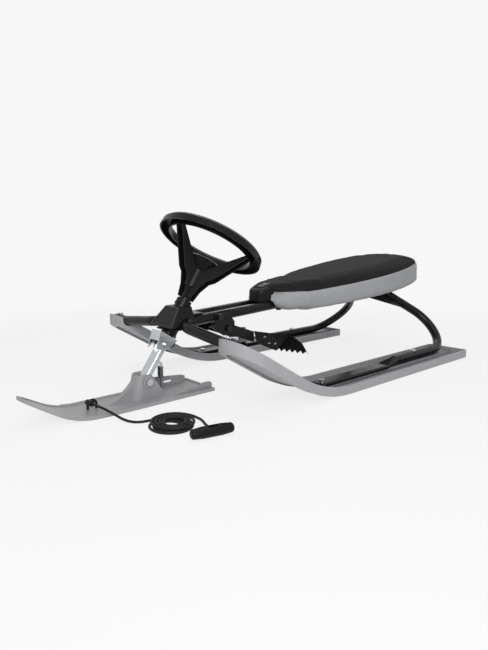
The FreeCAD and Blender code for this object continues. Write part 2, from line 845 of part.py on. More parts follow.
def steering_wheel():
    """Wheel: rim, three hollow spokes with webs, and a hub that clasps the column."""
    half = s.spoke_width / 2
    spokes = [spoke(turn, 0, half) for turn in SPOKE_TURNS]
    body = spokes[0].fuse(spokes[1:] + [hub_bowl()])
    body = body.cut([spoke(turn, s.spoke_wall, half - s.spoke_wall) for turn in SPOKE_TURNS])
    ring_space = rod(down(s.rim_height), UP, s.rim_height, 2 * (s.rim_radius - s.rim_wall))
    ring_space = ring_space.cut(rod(down(s.rim_height), UP, s.rim_height, 2 * (s.rim_radius - s.rim_width)))
    body = body.cut(ring_space).fuse(rim())
    hub = rod(down(s.hub_bottom), UP, s.hub_bottom - s.spoke_hub_drop, s.hub_dia)
    body = body.fuse(hub)
    bore_top = s.column_top - s.bore_gap
    bore = rod(down(s.web_foot_drop + s.cut_overrun), UP, s.web_foot_drop + s.cut_overrun - bore_top,
               s.column_dia + 2 * s.bore_gap)
    return placed(body.cut([bore, screw_pilot()]).removeSplitter())


def screw_pilot():
    """Hole for the screw through the hub and the column, between two spokes."""
    return rod(down(s.wheel_screw_drop) - FORWARD * s.hub_dia, FORWARD, 2 * s.hub_dia,
               s.wheel_screw_dia + 2 * s.bore_gap)


def steering_column():
    """Tube from the wheel's hub to the yoke."""
    body = rod(down(s.yoke_drop), UP, s.yoke_drop - s.column_top, s.column_dia)
    body = body.cut(rod(down(s.yoke_drop), UP, s.yoke_drop, s.column_dia - 2 * s.column_wall))
    return placed(body.cut(screw_pilot()))


def wheel_screw():
    """Screw across the hub and the column."""
    seat = down(s.wheel_screw_drop) - FORWARD * (s.hub_dia / 2)
    return placed(screw(seat, FORWARD, s.hub_dia, s.wheel_screw_dia, s.wheel_screw_head_dia,
                        s.wheel_screw_head_height))


def yoke_corners():
    """Side outline of the yoke's flanges: front top, web foot, flange foot, back top."""
    top = -s.yoke_drop
    return [(s.yoke_front, top), (s.yoke_web_foot, top - s.yoke_web_drop),
            (-s.yoke_flange_foot, top - s.yoke_flange_drop), (-s.yoke_back, top)]


bolt_spot = to_steering(s.strut_bolt_x, s.strut_bolt_z)
pivot_spot = to_steering(s.ski_pivot_x, s.ski_pivot_z)


def steering_yoke():
    """Bent sheet: a top plate, two flanges and a front web."""
    corners = yoke_corners()
    half = s.yoke_width / 2
    outer = side_prism(corners, -half, half)
    sheet_gap = s.yoke_sheet
    front, foot, heel, back = corners
    inner_top = front[1] - sheet_gap
    inner = side_prism([(front[0] - sheet_gap, inner_top), (foot[0] - sheet_gap, foot[1] - s.cut_overrun),
                        (heel[0] - s.cut_overrun, heel[1] - s.cut_overrun),
                        (back[0] - s.cut_overrun, inner_top)],
                       sheet_gap - half, half - sheet_gap)
    bore = rod(bolt_spot - LEFT * s.yoke_width, LEFT, 2 * s.yoke_width, s.pivot_bolt_dia + 2 * s.bore_gap)
    return placed(outer.cut([inner, bore]))


strut_way = (pivot_spot - bolt_spot).normalize()
strut_length = (pivot_spot - bolt_spot).Length
strut_frame = Placement(bolt_spot, Rotation(UP, strut_way * -1))
bush_dia = s.pivot_bolt_dia + 2 * s.bore_gap + 2 * s.pivot_bush_wall


def strut_buffer():
    """Rubber block behind and above the strut, under the yoke's top plate."""
    half = s.yoke_width / 2 - s.yoke_sheet - s.bore_gap
    top = -s.yoke_drop - s.yoke_sheet
    body = block(Vector(-s.yoke_back, -half, top - s.buffer_drop), Vector(bolt_spot.x, half, top))
    deep = s.strut_depth / 2 + s.bore_gap
    room = block(Vector(-deep, -s.yoke_width, -strut_length), Vector(s.yoke_width, s.yoke_width,
                                                                     s.strut_end_reach + s.bore_gap))
    room.Placement = strut_frame
    return placed(body.cut(room))


def front_strut():
    """Rectangular tube between the yoke's bolt and the ski's pivot, with a lug for the spring."""
    deep = s.strut_depth / 2
    wide = s.strut_width / 2
    bottom = -strut_length - s.strut_end_reach
    body = block(Vector(-deep, -wide, bottom), Vector(deep, wide, s.strut_end_reach))
    long_edges = [edge for edge in body.Edges if edge.BoundBox.ZLength > strut_length]
    body = body.makeFillet(s.strut_corner, long_edges)
    wall = s.strut_wall
    body = body.cut(block(Vector(wall - deep, wall - wide, bottom), Vector(deep - wall, wide - wall,
                                                                          s.strut_end_reach)))
    cross = rod(Vector(0, -s.strut_width, 0), LEFT, 2 * s.strut_width, s.pivot_bolt_dia + 2 * s.bore_gap)
    eye = rod(Vector(0, -s.strut_width, -strut_length), LEFT, 2 * s.strut_width, bush_dia + 2 * s.bore_gap)
    lug = block(Vector(-deep - s.lug_reach, -s.lug_width / 2, -s.lug_drop - s.lug_height),
                Vector(wall - deep, s.lug_width / 2, -s.lug_drop))
    body = body.cut([cross, eye]).fuse(lug)
    body.Placement = strut_frame
    return placed(body)


def across(x, z, length, dia, bore):
    """Round sleeve or bar across the sled, about the middle plane."""
    start = Vector(x, -length / 2, z)
    body = rod(start, LEFT, length, dia)
    return body.cut(rod(start, LEFT, length, bore)) if bore else body


def cross_bolt(x, z, grip, dia, head_dia, head_height, tail):
    """Bolt across the sled with its head on the left side and room for a nut on the right."""
    return screw(Vector(x, grip / 2, z), LEFT * -1, grip + tail, dia, head_dia, head_height)


# Front ski

ski_keel = SimpleNamespace(
    back_x=s.ski_back_x - s.cut_overrun, rise_x=s.ski_rise_x, radius=s.ski_rise_radius,
    angle=s.ski_rise_angle, tip_x=s.ski_tip_x + s.cut_overrun)
tower_half = s.strut_width / 2 + s.fit_gap + s.tower_wall


def ski_plan(inset):
    """Prism of the ski's outline: straight sides that round into a long narrowing tip."""
    half = s.ski_half_width - inset
    back = s.ski_back_x + inset
    shoulder = s.ski_tip_x - s.ski_tip_length
    reach = s.ski_tip_length - inset
    power = 2.4
    length_shares = (0, 0.3, 0.55, 0.75, 0.89, 0.97, 1)
    left = [Vector(shoulder + share * reach, half * (1 - share ** power) ** (1 / power), 0)
            for share in length_shares]
    right = [Vector(point.x, -point.y, 0) for point in reversed(left)]

    def curve(points, first_way, last_way):
        spline = Part.BSplineCurve()
        spline.interpolate(Points=points, InitialTangent=first_way, FinalTangent=last_way)
        return spline

    edges = [Part.LineSegment(right[-1], Vector(back, -half, 0)),
             Part.LineSegment(Vector(back, -half, 0), Vector(back, half, 0)),
             Part.LineSegment(Vector(back, half, 0), left[0]), curve(left, FORWARD, LEFT * -1),
             curve(right, LEFT * -1, FORWARD * -1)]
    face = Part.Face(Part.Wire([edge.toShape() for edge in edges]))
    face.translate(UP * -s.cut_overrun)
    return face.extrude(UP * (s.ski_rise_radius + s.cut_overrun))


def tower_outline(z, front, inset):
    """Outline of the tower at one height: two straight cheeks and a half-round front."""
    half = tower_half - inset
    back = s.ski_pivot_x - s.tower_back_foot - (s.cut_overrun if inset else 0)
    nose = Vector(front + half, 0, z)
    left, right = Vector(front, half, z), Vector(front, -half, z)
    back_left, back_right = Vector(back, half, z), Vector(back, -half, z)
    return Part.Wire([Part.LineSegment(back_right, right).toShape(), Part.Arc(right, nose, left).toShape(),
                      Part.LineSegment(left, back_left).toShape(),
                      Part.LineSegment(back_left, back_right).toShape()])


def ski_tower():
    """Tower for the strut: cheeks with a half-round front, a sloped back and a rib in front."""
    floor = s.ski_floor / 2
    top = s.tower_height
    x = s.ski_pivot_x
    foot, crest = x + s.tower_front_foot, x + s.tower_front_top
    body = Part.makeLoft([tower_outline(floor, foot, 0), tower_outline(top, crest, 0)], True, True)
    rise = top - s.ski_floor
    lean_per_rise = (foot - crest) / (top - floor)
    hollow_top = crest - lean_per_rise * s.cut_overrun
    hollow_foot = foot - lean_per_rise * (s.ski_floor - floor)
    hollow = Part.makeLoft([tower_outline(s.ski_floor, hollow_foot, s.tower_wall),
                            tower_outline(top + s.cut_overrun, hollow_top, s.tower_wall)], True, True)
    back = x - s.tower_back_foot
    slant = (s.tower_back_foot - s.tower_back_top) / rise
    corner = Vector(back + slant * (rise + s.cut_overrun), 0, top + s.cut_overrun)
    wedge = side_prism([(back, s.ski_floor), (corner.x, corner.z), (back - s.cut_overrun, corner.z),
                        (back - s.cut_overrun, s.ski_floor)], -2 * tower_half, 2 * tower_half)
    return body.fuse(front_rib(foot, crest)).removeSplitter().cut([hollow, wedge])


def front_rib(foot, crest):
    """Upright rib that runs from the tower's front down to the ski's deck."""
    floor = s.ski_floor / 2
    top = s.tower_height
    start = crest + tower_half - s.tower_wall / 2
    end = start + s.rib_length
    run_share = 0.32
    drop_share = 0.38
    bend = Vector(start + run_share * s.rib_length, 0, floor + drop_share * (top - floor))
    edges = [Part.LineSegment(Vector(crest, 0, floor), Vector(crest, 0, top - s.tower_wall)),
             Part.LineSegment(Vector(crest, 0, top - s.tower_wall), Vector(start, 0, top - s.tower_wall)),
             Part.Arc(Vector(start, 0, top - s.tower_wall), bend, Vector(end, 0, floor)),
             Part.LineSegment(Vector(end, 0, floor), Vector(crest, 0, floor))]
    face = Part.Face(Part.Wire([edge.toShape() for edge in edges]))
    face.translate(LEFT * (-s.rib_thickness / 2))
    return face.extrude(LEFT * s.rib_thickness)


# Side outlines of the low walls as shares of their length and height, from the ski's back.
LEFT_FIN_SHARES = ((0, 0), (0, 0.75), (0.05, 0.95), (0.18, 0.95), (0.26, 0.70), (0.38, 0.72), (1.0, 0))
RIGHT_FIN_SHARES = ((0.12, 0), (0.12, 0.85), (0.18, 1.0), (1.0, 1.55), (1.0, 0))


def fin(shares, length, side):
    """Low wall on the ski's deck from its side outline."""
    floor = s.ski_floor / 2
    points = [(s.ski_back_x + along * length, floor + high * (s.fin_height + s.ski_floor - floor))
              for along, high in shares]
    y = side * s.fin_y
    return side_prism(points, y - s.fin_thickness / 2, y + s.fin_thickness / 2)


def ski_fins():
    """Low walls behind the tower: a wedge on the left, a longer wall with a slot on the right."""
    left = fin(LEFT_FIN_SHARES, s.left_fin_length, 1)
    right = fin(RIGHT_FIN_SHARES, s.right_fin_length, -1)
    slot_low = Vector(s.ski_back_x + s.fin_slot_back, -s.fin_y - s.fin_thickness,
                      s.ski_floor + s.fin_slot_height)
    slot = block(slot_low, slot_low + Vector(s.fin_slot_length, 2 * s.fin_thickness, s.fin_slot_height))
    return [left, right.cut(slot)]


def front_ski():
    """Ski: a shallow tray with a turned-up tip, the pivot tower and the low walls."""
    width = 2 * s.ski_half_width
    edge_lifts = (s.ski_edge, (s.ski_edge + s.ski_tip_edge) / 2, s.ski_tip_edge)
    floor_lifts = (s.ski_floor, (s.ski_floor + s.ski_tip_floor) / 2, s.ski_tip_floor)
    groove_middle = (s.ski_groove_depth + s.ski_tip_groove_depth) / 2
    groove_lifts = (s.ski_groove_depth, groove_middle, s.ski_tip_groove_depth)
    body = band(ski_keel, even(0), edge_lifts, width).common(ski_plan(0))
    tray = band(ski_keel, floor_lifts, even(s.ski_rise_radius / 2), width).common(ski_plan(s.ski_rim))
    groove = band(ski_keel, even(-s.cut_overrun / 2), groove_lifts, width)
    body = body.cut(tray).cut(groove.common(ski_plan(s.ski_groove_inset)))
    pivot = Vector(s.ski_pivot_x, 0, s.ski_pivot_z)
    bosses = [rod(pivot + LEFT * (side * tower_half), LEFT * side, s.boss_height, s.boss_dia)
              for side in (-1, 1)]
    body = body.fuse([ski_tower()] + bosses + ski_fins()).removeSplitter()
    bore = across(pivot.x, pivot.z, 4 * tower_half, s.pivot_bolt_dia + 2 * s.bore_gap, 0)
    hole = rod(Vector(s.ski_back_x + s.deck_hole_back, 0, 0), UP, s.tower_height, s.deck_hole_dia)
    return body.cut([bore, hole])


# Springs


def coil_spring(place, turns, wire_dia, lead, tail):
    """Wound wire with a straight lead and tail, as one unbroken tube."""
    edges, points, ways = winding(place, turns, 4)
    start = points[0] - ways[0] * lead
    end = points[-1] + ways[-1] * tail
    path = Part.Wire([Part.LineSegment(start, points[0]).toShape()] + edges
                     + [Part.LineSegment(points[-1], end).toShape()])
    return pipe(path, wire_dia)


def ski_spring():
    """Upright tension spring behind the strut, from the ski's deck to the strut's lug."""
    lug_corner = Vector(-s.strut_depth / 2 - s.lug_reach, 0, -s.lug_drop - s.lug_height)
    lug_place = steering_frame.multiply(strut_frame).multVec(lug_corner)
    radius = (s.spring_dia - s.spring_wire) / 2
    foot = s.ski_floor + s.spring_foot
    rise = lug_place.z - s.spring_wire - foot
    turns = s.spring_turn_count

    def place(turn):
        angle = 2 * math.pi * turn
        return Vector(s.spring_x + radius * math.cos(angle), radius * math.sin(angle),
                      foot + rise * turn / turns)

    print("ski spring least gap", round(least_gap(place, turns, s.spring_wire), 2))
    coil = coil_spring(place, turns, s.spring_wire, s.spring_wire, s.spring_wire)
    hook_top = Vector(s.spring_x, 0, foot)
    leg = rod(Vector(hook_top.x, 0, s.ski_floor + s.bore_gap), UP, s.spring_foot, s.spring_wire)
    cross_start = Vector(s.spring_x, 0, foot)
    spoke = rod(cross_start, FORWARD, radius, s.spring_wire)
    return coil.fuse([leg, spoke])


def brake_spring():
    """Torsion spring round the brake's sleeve, with one leg under the bracket bolt."""
    radius = (s.brake_spring_dia - s.brake_spring_wire) / 2
    turns = s.brake_spring_turn_count

    def place(turn):
        angle = 2 * math.pi * turn
        return Vector(s.brake_pivot_x + radius * math.cos(angle), s.brake_spring_width * (turn / turns - 0.5),
                      s.brake_pivot_z + radius * math.sin(angle))

    print("brake spring least gap", round(least_gap(place, turns, s.brake_spring_wire), 2))
    return coil_spring(place, turns, s.brake_spring_wire, s.brake_spring_leg / 4, s.brake_spring_leg)


# Brake

bracket_inner_y = s.spine_y + s.tube_dia / 2 + s.bore_gap
bracket_outer_y = bracket_inner_y + s.bracket_sheet


def brake_plate():
    """Left bracket plate: hangs from the spine tube and carries the pivot bolt."""
    x = s.brake_pivot_x
    z = s.brake_pivot_z
    low, high = z - s.bracket_drop, z + s.bracket_rise
    back, front = x - s.bracket_back, x + s.bracket_front
    notch_share = 0.55
    corner = back + notch_share * (front - back)
    points = [(back, low), (corner, low), (front, z), (front, high), (x, high), (back, z + s.bracket_drop)]
    plate = side_prism(points, bracket_inner_y, bracket_outer_y)
    holes = [rod(Vector(x, 0, z), LEFT, 2 * bracket_outer_y, s.brake_bolt_dia + 2 * s.bore_gap),
             rod(Vector(s.bracket_bolt_x, 0, spine_z(s.bracket_bolt_x)), LEFT, 2 * bracket_outer_y,
                 s.brake_bolt_dia + 2 * s.bore_gap)]
    return plate.cut(holes)


def brake_arm():
    """Left arm: a flat bar from the sleeve back to the claw."""
    x, z = s.brake_pivot_x, s.brake_pivot_z
    half = s.arm_height / 2
    points = [(x + half, z - half / 2), (x + half, z + half / 2), (x, z + half),
              (x - s.arm_reach, z - s.arm_drop + half), (x - s.arm_reach, z - s.arm_drop - half),
              (x, z - half)]
    bar = side_prism(points, s.arm_y - s.arm_thickness / 2, s.arm_y + s.arm_thickness / 2)
    return bar.cut(rod(Vector(x, 0, z), LEFT, 2 * s.arm_y, s.sleeve_dia + 2 * s.bore_gap))


# Corners of the claw as shares of its reach, outer half width and drop, from the brake's pivot.
BEND_FOOT_SHARES = (-0.918, 0.361, -1.031)
BEND_TOP_SHARES = (-1.075, 0.586, -0.500)
TREAD_TOP_SHARES = (-0.545, 0.248, -0.266)
TREAD_LOW_SHARES = (-0.626, 0.225, -0.719)
BLADE_TIP_SHARES = (-0.986, 1.000, -0.969)
BLADE_CHEEK_SHARES = (-1.050, 0.812, -0.680)


def claw_point(shares):
    """Corner of the claw from its shares."""
    along, side, fall = shares
    return Vector(s.brake_pivot_x + along * s.claw_reach, side * s.claw_outer_y,
                  s.brake_pivot_z + fall * s.claw_drop)


def flat_plate(points, thickness):
    """Plate about the plane through the first three points, with the other points dropped on it."""
    origin = points[0]
    normal = (points[1] - origin).cross(points[2] - origin).normalize()
    low = [point - normal * ((point - origin).dot(normal) + thickness / 2) for point in points]
    return prism(low, normal * thickness), normal


def brake_claw():
    """Left claw: a sloped tread with holes and a toothed blade across the sled."""
    foot, top = claw_point(BEND_FOOT_SHARES), claw_point(BEND_TOP_SHARES)
    upper, lower = claw_point(TREAD_TOP_SHARES), claw_point(TREAD_LOW_SHARES)
    tip, cheek = claw_point(BLADE_TIP_SHARES), claw_point(BLADE_CHEEK_SHARES)
    tread, tread_normal = flat_plate([foot, top, upper, lower], s.claw_sheet)
    edge = tip - foot
    into_blade = (top - foot).cross(edge).cross(edge).normalize()
    pitch_share = 1 / s.tooth_count
    teeth = []
    for count in range(int(s.tooth_count)):
        point = foot + edge * (count * pitch_share)
        root = foot + edge * ((count + 0.5) * pitch_share) - into_blade * s.tooth_depth
        teeth += [point, root]
    blade_normal = edge.cross(top - foot).normalize()
    outline = [top] + teeth + [tip, cheek]
    low = [point - blade_normal * ((point - foot).dot(blade_normal) + s.claw_sheet / 2) for point in outline]
    body = tread.fuse(prism(low, blade_normal * s.claw_sheet)).removeSplitter()
    along = (upper - top).normalize()
    rise = tread_normal.cross(along).normalize()
    centre = (foot + top + upper + lower) * 0.25
    pitch = 2 * s.tread_hole_dia
    for column_share in (-1, 0, 1):
        for row_share in (-0.5, 0.5):
            spot = centre + along * (column_share * pitch) + rise * (row_share * pitch)
            body = body.cut(rod(spot - tread_normal * s.claw_sheet, tread_normal, 2 * s.claw_sheet,
                                s.tread_hole_dia))
    return body


# Seat

seat_frame = Placement(Vector(s.seat_front_x, 0, s.seat_front_z), Rotation(LEFT, s.seat_slope_angle))
slope = math.tan(math.radians(s.seat_slope_angle))


def cushion_outline(level, inset, tilt):
    """Outline of the cushion in the seat's frame; the tilt lowers it towards the rear."""
    front_inset_share = 0.5
    corner = s.cushion_corner
    front = -inset * front_inset_share
    narrow = s.cushion_front_half_width - inset
    wide = s.cushion_rear_half_width - inset
    waist = -s.cushion_taper_length
    back = inset - s.cushion_length
    diagonal = corner * (1 - math.sqrt(2) / 2)
    swell_share = 0.64
    middle_share = 0.42

    def at(x, y):
        return Vector(x, y, level + tilt * x)

    def side_edges(way):
        start = at(front, way * (narrow - corner))
        shoulder = at(front - corner, way * narrow)
        middle = at(shoulder.x + middle_share * (waist - shoulder.x),
                    way * (narrow + swell_share * (wide - narrow)))
        hip = at(waist, way * wide)
        edges = [Part.Arc(start, at(front - diagonal, way * (narrow - diagonal)), shoulder).toShape(),
                 Part.Arc(shoulder, middle, hip).toShape()]
        backward = Vector(-1, 0, -tilt).normalize()
        return edges + biarc(hip, backward, at(back, 0), LEFT * -way)

    left = side_edges(1)
    right = side_edges(-1)
    front_edge = Part.LineSegment(at(front, corner - narrow), at(front, narrow - corner)).toShape()
    return Part.Wire([front_edge] + left + right[::-1])


# Levels of the cushion as shares of its thickness or crown, and its insets as shares of the drawn-in edge.
CUSHION_LEVEL_SHARES = (0.0, 0.22, 0.78, 1.0)
CUSHION_INSET_SHARES = (1.0, 0.15, 0.0, 0.2)
CROWN_LEVEL_SHARES = (0.42, 0.76, 1.0)
CROWN_INSET_SHARES = (1.1, 3.0, 7.0)


def tube_top(x):
    """Height at which the seat base rests on the spine tubes."""
    return spine_z(x) + s.tube_dia / 2 + s.fit_gap


def seat_slab(lift, grow, low_drop):
    """Board under the cushion: its top lies in the seat's plane, its bottom on the spine tubes."""
    front = s.seat_front_x - s.base_front_gap + grow
    back = s.seat_front_x - s.base_length - grow

    def plane(x):
        return s.seat_front_z + (s.seat_front_x - x) * slope + lift

    points = [(back, tube_top(back) - low_drop), (front, tube_top(front) - low_drop), (front, plane(front)),
              (back, plane(back))]
    half = s.base_half_width + grow
    return side_prism(points, -half, half)


def seat_neck(grow, low_drop):
    """Bar that joins the board and the nose through the cushion's front."""
    front = s.seat_front_x + s.nose_length / 2
    back = s.seat_front_x - 2 * s.base_front_gap
    top = tube_top(s.seat_front_x) + s.neck_height + grow
    half = s.neck_half_width + grow
    points = [(back, tube_top(back) - low_drop), (front, tube_top(front) - low_drop), (front, top),
              (back, top)]
    return side_prism(points, -half, half)


# Sections of the cushion's front wing: shares of its length, of the cushion's front half width, and of its
# height at the section's bottom and top.
WING_SHARES = ((0, 1.0, 0, 0.92), (0.53, 0.88, 0.02, 0.98), (0.78, 0.70, 0.10, 1.0), (0.93, 0.52, 0.29, 0.94),
               (1.0, 0.38, 0.50, 0.81))


def cushion_wing():
    """Left wing: the padded side that runs forward beside the hood and rounds in to it."""
    corner_share = 0.4
    back = s.seat_front_x - s.wing_back
    base = s.seat_front_z + s.wing_lift
    sections = []
    for along, wide, low, high in WING_SHARES:
        width = wide * s.cushion_front_half_width - s.spine_y
        height = (high - low) * s.wing_height
        centre = Vector(back + along * s.wing_length, s.spine_y + width / 2,
                        base + (low + high) / 2 * s.wing_height)
        sections.append(rounded_rectangle(centre, width, height, corner_share * min(width, height)))
    return Part.makeLoft(sections, True, False)


def seat_cushion():
    """Padded cushion: bulging sides, a crown, and a recess underneath for the board and the tubes."""
    tilt = s.cushion_rear_gain / s.cushion_length
    sections = []
    for level_share, inset_share in zip(CUSHION_LEVEL_SHARES, CUSHION_INSET_SHARES):
        sections.append(cushion_outline(level_share * s.cushion_thickness, inset_share * s.cushion_draw,
                                        (1 - level_share) * tilt))
    for level_share, inset_share in zip(CROWN_LEVEL_SHARES, CROWN_INSET_SHARES):
        sections.append(cushion_outline(s.cushion_thickness + level_share * s.cushion_crown,
                                        inset_share * s.cushion_draw, 0))
    body = Part.makeLoft(sections, True, False)
    body.Placement = seat_frame
    wing = cushion_wing()
    body = body.fuse([wing, mirrored(wing)])
    tunnel_half = s.spine_y + s.tube_dia / 2 + s.cover_notch_gap
    front = s.seat_front_x + s.wing_length
    back = s.seat_front_x - s.base_front_gap - s.cut_overrun
    tunnel = side_prism([(back, 0), (front, 0), (front, tube_top(front) + s.fit_gap),
                         (back, tube_top(back) + s.fit_gap)], -tunnel_half, tunnel_half)
    return body.cut([seat_slab(s.base_lift + s.fit_gap, s.fit_gap, s.seat_front_z), tunnel,
                     seat_neck(s.fit_gap, s.seat_front_z), seat_hood(s.fit_gap)])


# Sections of the hood: shares of its length, of its rear half width, and of its rise above the nose's height.
HOOD_SHARES = ((0, 1.0, 1.0), (0.39, 0.77, 0.72), (0.70, 0.53, 0.32), (0.89, 0.38, -0.02),
               (0.97, 0.26, -0.40), (1.0, 0.17, -0.95))


def seat_hood(grow):
    """Outer shape of the hood in front of the cushion: it narrows and falls to a rounded nose."""
    corner_share = 0.3
    last = len(HOOD_SHARES) - 1
    low = tube_top(s.seat_front_x + s.nose_length)
    sections = []
    for index, (along, wide, rise) in enumerate(HOOD_SHARES):
        ends = grow * ((index == last) - (index == 0))
        width = 2 * (wide * s.nose_rear_half_width + grow)
        top = low + s.nose_height + rise * s.nose_rise + grow
        bottom = low - s.nose_height
        centre = Vector(s.seat_front_x + s.fit_gap + along * s.nose_length + ends, 0, (top + bottom) / 2)
        sections.append(rounded_rectangle(centre, width, top - bottom, corner_share * width / 2))
    return Part.makeLoft(sections, True, False)


def seat_base():
    """Plastic base on the spine tubes: the board, the neck and the hood in front of the cushion."""
    front = s.seat_front_x + s.nose_length + s.cut_overrun
    back = s.seat_front_x - s.cut_overrun
    half = s.nose_rear_half_width + s.cut_overrun
    under = side_prism([(back, 0), (front, 0), (front, tube_top(front)), (back, tube_top(back))], -half, half)
    hood = seat_hood(0).cut(under)
    body = seat_slab(s.base_lift, 0, 0).fuse([seat_neck(0, 0), hood]).removeSplitter()
    for bolt in seat_bolt_shapes(s.bore_gap):
        body = body.cut([bolt, mirrored(bolt)])
    return body


def seat_bolt_shapes(grow):
    """Left pair of bolts, up through the spine tube into the seat base."""
    bolts = []
    for x in (s.seat_front_bolt_x, s.seat_rear_bolt_x):
        seat = Vector(x, s.spine_y, spine_z(x) - s.tube_dia / 2 - s.fit_gap)
        length = s.tube_dia + 2 * s.fit_gap + s.seat_bolt_bite
        bolts.append(screw(seat, UP, length + grow, s.seat_bolt_dia + 2 * grow, s.seat_bolt_head_dia,
                           s.seat_bolt_head_height))
    return bolts


# Tow rope, handle and coil. The rope's points are places on the ground and the ski.

ROPE_POINTS = [(436, 16, 20), (433, 34, 19.5), (428, 54, 17), (421, 73, 11), (414, 90, 5), (407, 104, 3.2),
               (397, 114, 3), (381, 118.43, 3), (365, 118.87, 3)]
TAIL_POINTS = [(317.87, 166, 8.7), (317.47, 181, 8.7), (321.6, 196, 10), (329, 211, 11.2), (334, 226, 11.6),
               (337, 240, 11.5)]


def cord_tube(points, label):
    """Limp cord: straight runs joined by arcs as large as the runs allow."""
    radii = []
    for before, corner, after in zip(points, points[1:], points[2:]):
        turn = (corner - before).getAngle(after - corner)
        shorter = min((corner - before).Length, (after - corner).Length)
        radius_share = 0.45
        radii.append(radius_share * shorter / math.tan(turn / 2))
    path = rounded_wire(points, radii)
    body = pipe(path, s.rope_dia)
    ideal = math.pi * s.rope_dia ** 2 / 4 * path.Length
    print(label, "radii", [round(radius) for radius in radii], "volume share", round(body.Volume / ideal, 3))
    return body


rope_floor_z = s.rope_dia / 2 + s.floor_gap


def coil_place(turn):
    """Point of the coil after that many turns: in on the lower layer, out again on the upper one."""
    half_turns = s.coil_turn_count / 2
    climb_turns = 0.5
    angle = math.radians(s.coil_start_angle) - 2 * math.pi * turn
    rate = (s.coil_outer_radius - s.coil_inner_radius) / (half_turns - climb_turns / 2)
    away = abs(turn - half_turns)
    radius = s.coil_inner_radius + rate * max(away - climb_turns / 2, 0)
    climb = min(max((turn - half_turns) / climb_turns + 1 / 2, 0), 1)
    climb = climb * climb * (3 - 2 * climb)
    z = rope_floor_z + climb * (s.rope_dia + s.coil_layer_gap)
    return Vector(s.coil_x + radius * math.cos(angle), s.coil_y + radius * math.sin(angle), z)


def rope_coil():
    """Loose coil of the rope: two layers, as one unbroken tube."""
    print("rope coil least gap", round(least_gap(coil_place, s.coil_turn_count, s.rope_dia), 2))
    edges, points, ways = winding(coil_place, s.coil_turn_count, 4)
    entry = points[0] - ways[0] * s.rope_dia
    exit_end = points[-1] + ways[-1] * s.rope_dia
    path = Part.Wire([Part.LineSegment(entry, points[0]).toShape()] + edges
                     + [Part.LineSegment(points[-1], exit_end).toShape()])
    print("coil entry", entry, "exit", exit_end, "length", round(path.Length))
    return pipe(path, s.rope_dia)


def tow_loop():
    """Loop of rope on the ski's deck, with the knot that the rope leaves from."""
    x = s.tow_loop_x
    top = s.ski_floor + s.tow_loop_leg
    reach = s.tow_loop_radius
    left, right = Vector(x - reach, 0, top), Vector(x + reach, 0, top)
    low = UP * (s.tow_loop_leg - s.bore_gap)
    path = Part.Wire([Part.LineSegment(left - low, left).toShape(),
                      Part.Arc(left, Vector(x, 0, top + reach), right).toShape(),
                      Part.LineSegment(right, right - low).toShape()])
    return pipe(path, s.rope_dia)


def tow_handle():
    """Short round handle lying on the ground, with a recess for the rope's knot."""
    half = s.handle_length / 2
    big, small = s.handle_dia / 2, s.handle_end_dia / 2
    points = [Vector(0, 0, -half), Vector(small, 0, -half), Vector(big, 0, -s.handle_recess_length),
              Vector(big, 0, s.handle_recess_length), Vector(small, 0, half), Vector(0, 0, half)]
    body = Part.Face(Part.makePolygon(points + [points[0]])).revolve(Vector(0, 0, 0), UP, 360)
    ends = [edge for edge in body.Edges
            if abs(abs(edge.BoundBox.ZMin) - half) < s.fit_gap and edge.BoundBox.ZLength < s.fit_gap]
    body = body.makeFillet(s.handle_round, ends)
    recess = block(Vector(-s.handle_dia, -s.handle_dia / 4, -s.handle_recess_length / 2),
                   Vector(s.handle_recess_depth - big, s.handle_dia / 4, s.handle_recess_length / 2))
    body = body.cut(recess)
    body.rotate(Vector(0, 0, 0), LEFT, 90)
    body.rotate(Vector(0, 0, 0), UP, s.handle_turn_angle)
    body.translate(Vector(s.handle_x, s.handle_y, big + s.floor_gap / 2))
    return body


def build():
    """Make every sub-part as an object of the document."""
    to_left = LEFT * runner_y
    runner = runner_solid()
    runner.translate(to_left)
    screws = runner_screws()
    screws.translate(to_left)
    tube = frame_tube()
    gusset = leg_gusset()
    for label, left_shape in (("runner", runner), ("runner_screws", screws), ("frame_tube", tube),
                              ("leg_gusset", gusset), ("brake_plate", brake_plate()),
                              ("brake_arm", brake_arm()), ("brake_claw", brake_claw())):
        add("left_" + label, left_shape)
        add("right_" + label, mirrored(left_shape))
    ring("steering_head_tube",
         "(sizes.column_dia + 4 * sizes.bore_gap) / 2 + sizes.bush_wall + sizes.head_tube_wall",
         "(sizes.column_dia + 4 * sizes.bore_gap) / 2 + sizes.bush_wall",
         "sizes.head_bottom - sizes.head_top", s.head_bottom)
    add("upper_head_bush", head_bush(s.head_top, True))
    add("lower_head_bush", head_bush(s.head_bottom, False))
    ring("column_collar", "sizes.collar_dia / 2", "sizes.column_dia / 2 + sizes.bore_gap",
         "sizes.collar_height",
         s.head_top - s.bush_flange - s.fit_gap)
    lower_z = s.spine_front_z - s.tube_dia / 2
    add("upper_head_plate", head_plate(upper_plate_z, s.upper_plate_back_x, s.upper_plate_front_x))
    add("lower_head_plate", head_plate(lower_z, s.lower_plate_back_x, s.lower_plate_front_x))
    add("head_cover", head_cover())
    add("seat_base", seat_base())
    add("seat_cushion", seat_cushion())
    bolts = seat_bolt_shapes(0)
    add("seat_bolts", Part.makeCompound(bolts + [mirrored(bolt) for bolt in bolts]))
    add("steering_wheel", steering_wheel())
    add("steering_column", steering_column())
    add("wheel_screw", wheel_screw())
    add("steering_yoke", steering_yoke())
    add("strut_buffer", strut_buffer())
    add("front_strut", front_strut())
    add_bolts()
    add("front_ski", front_ski())
    add("ski_spring", ski_spring())
    add("brake_spring", brake_spring())
    add_rope()


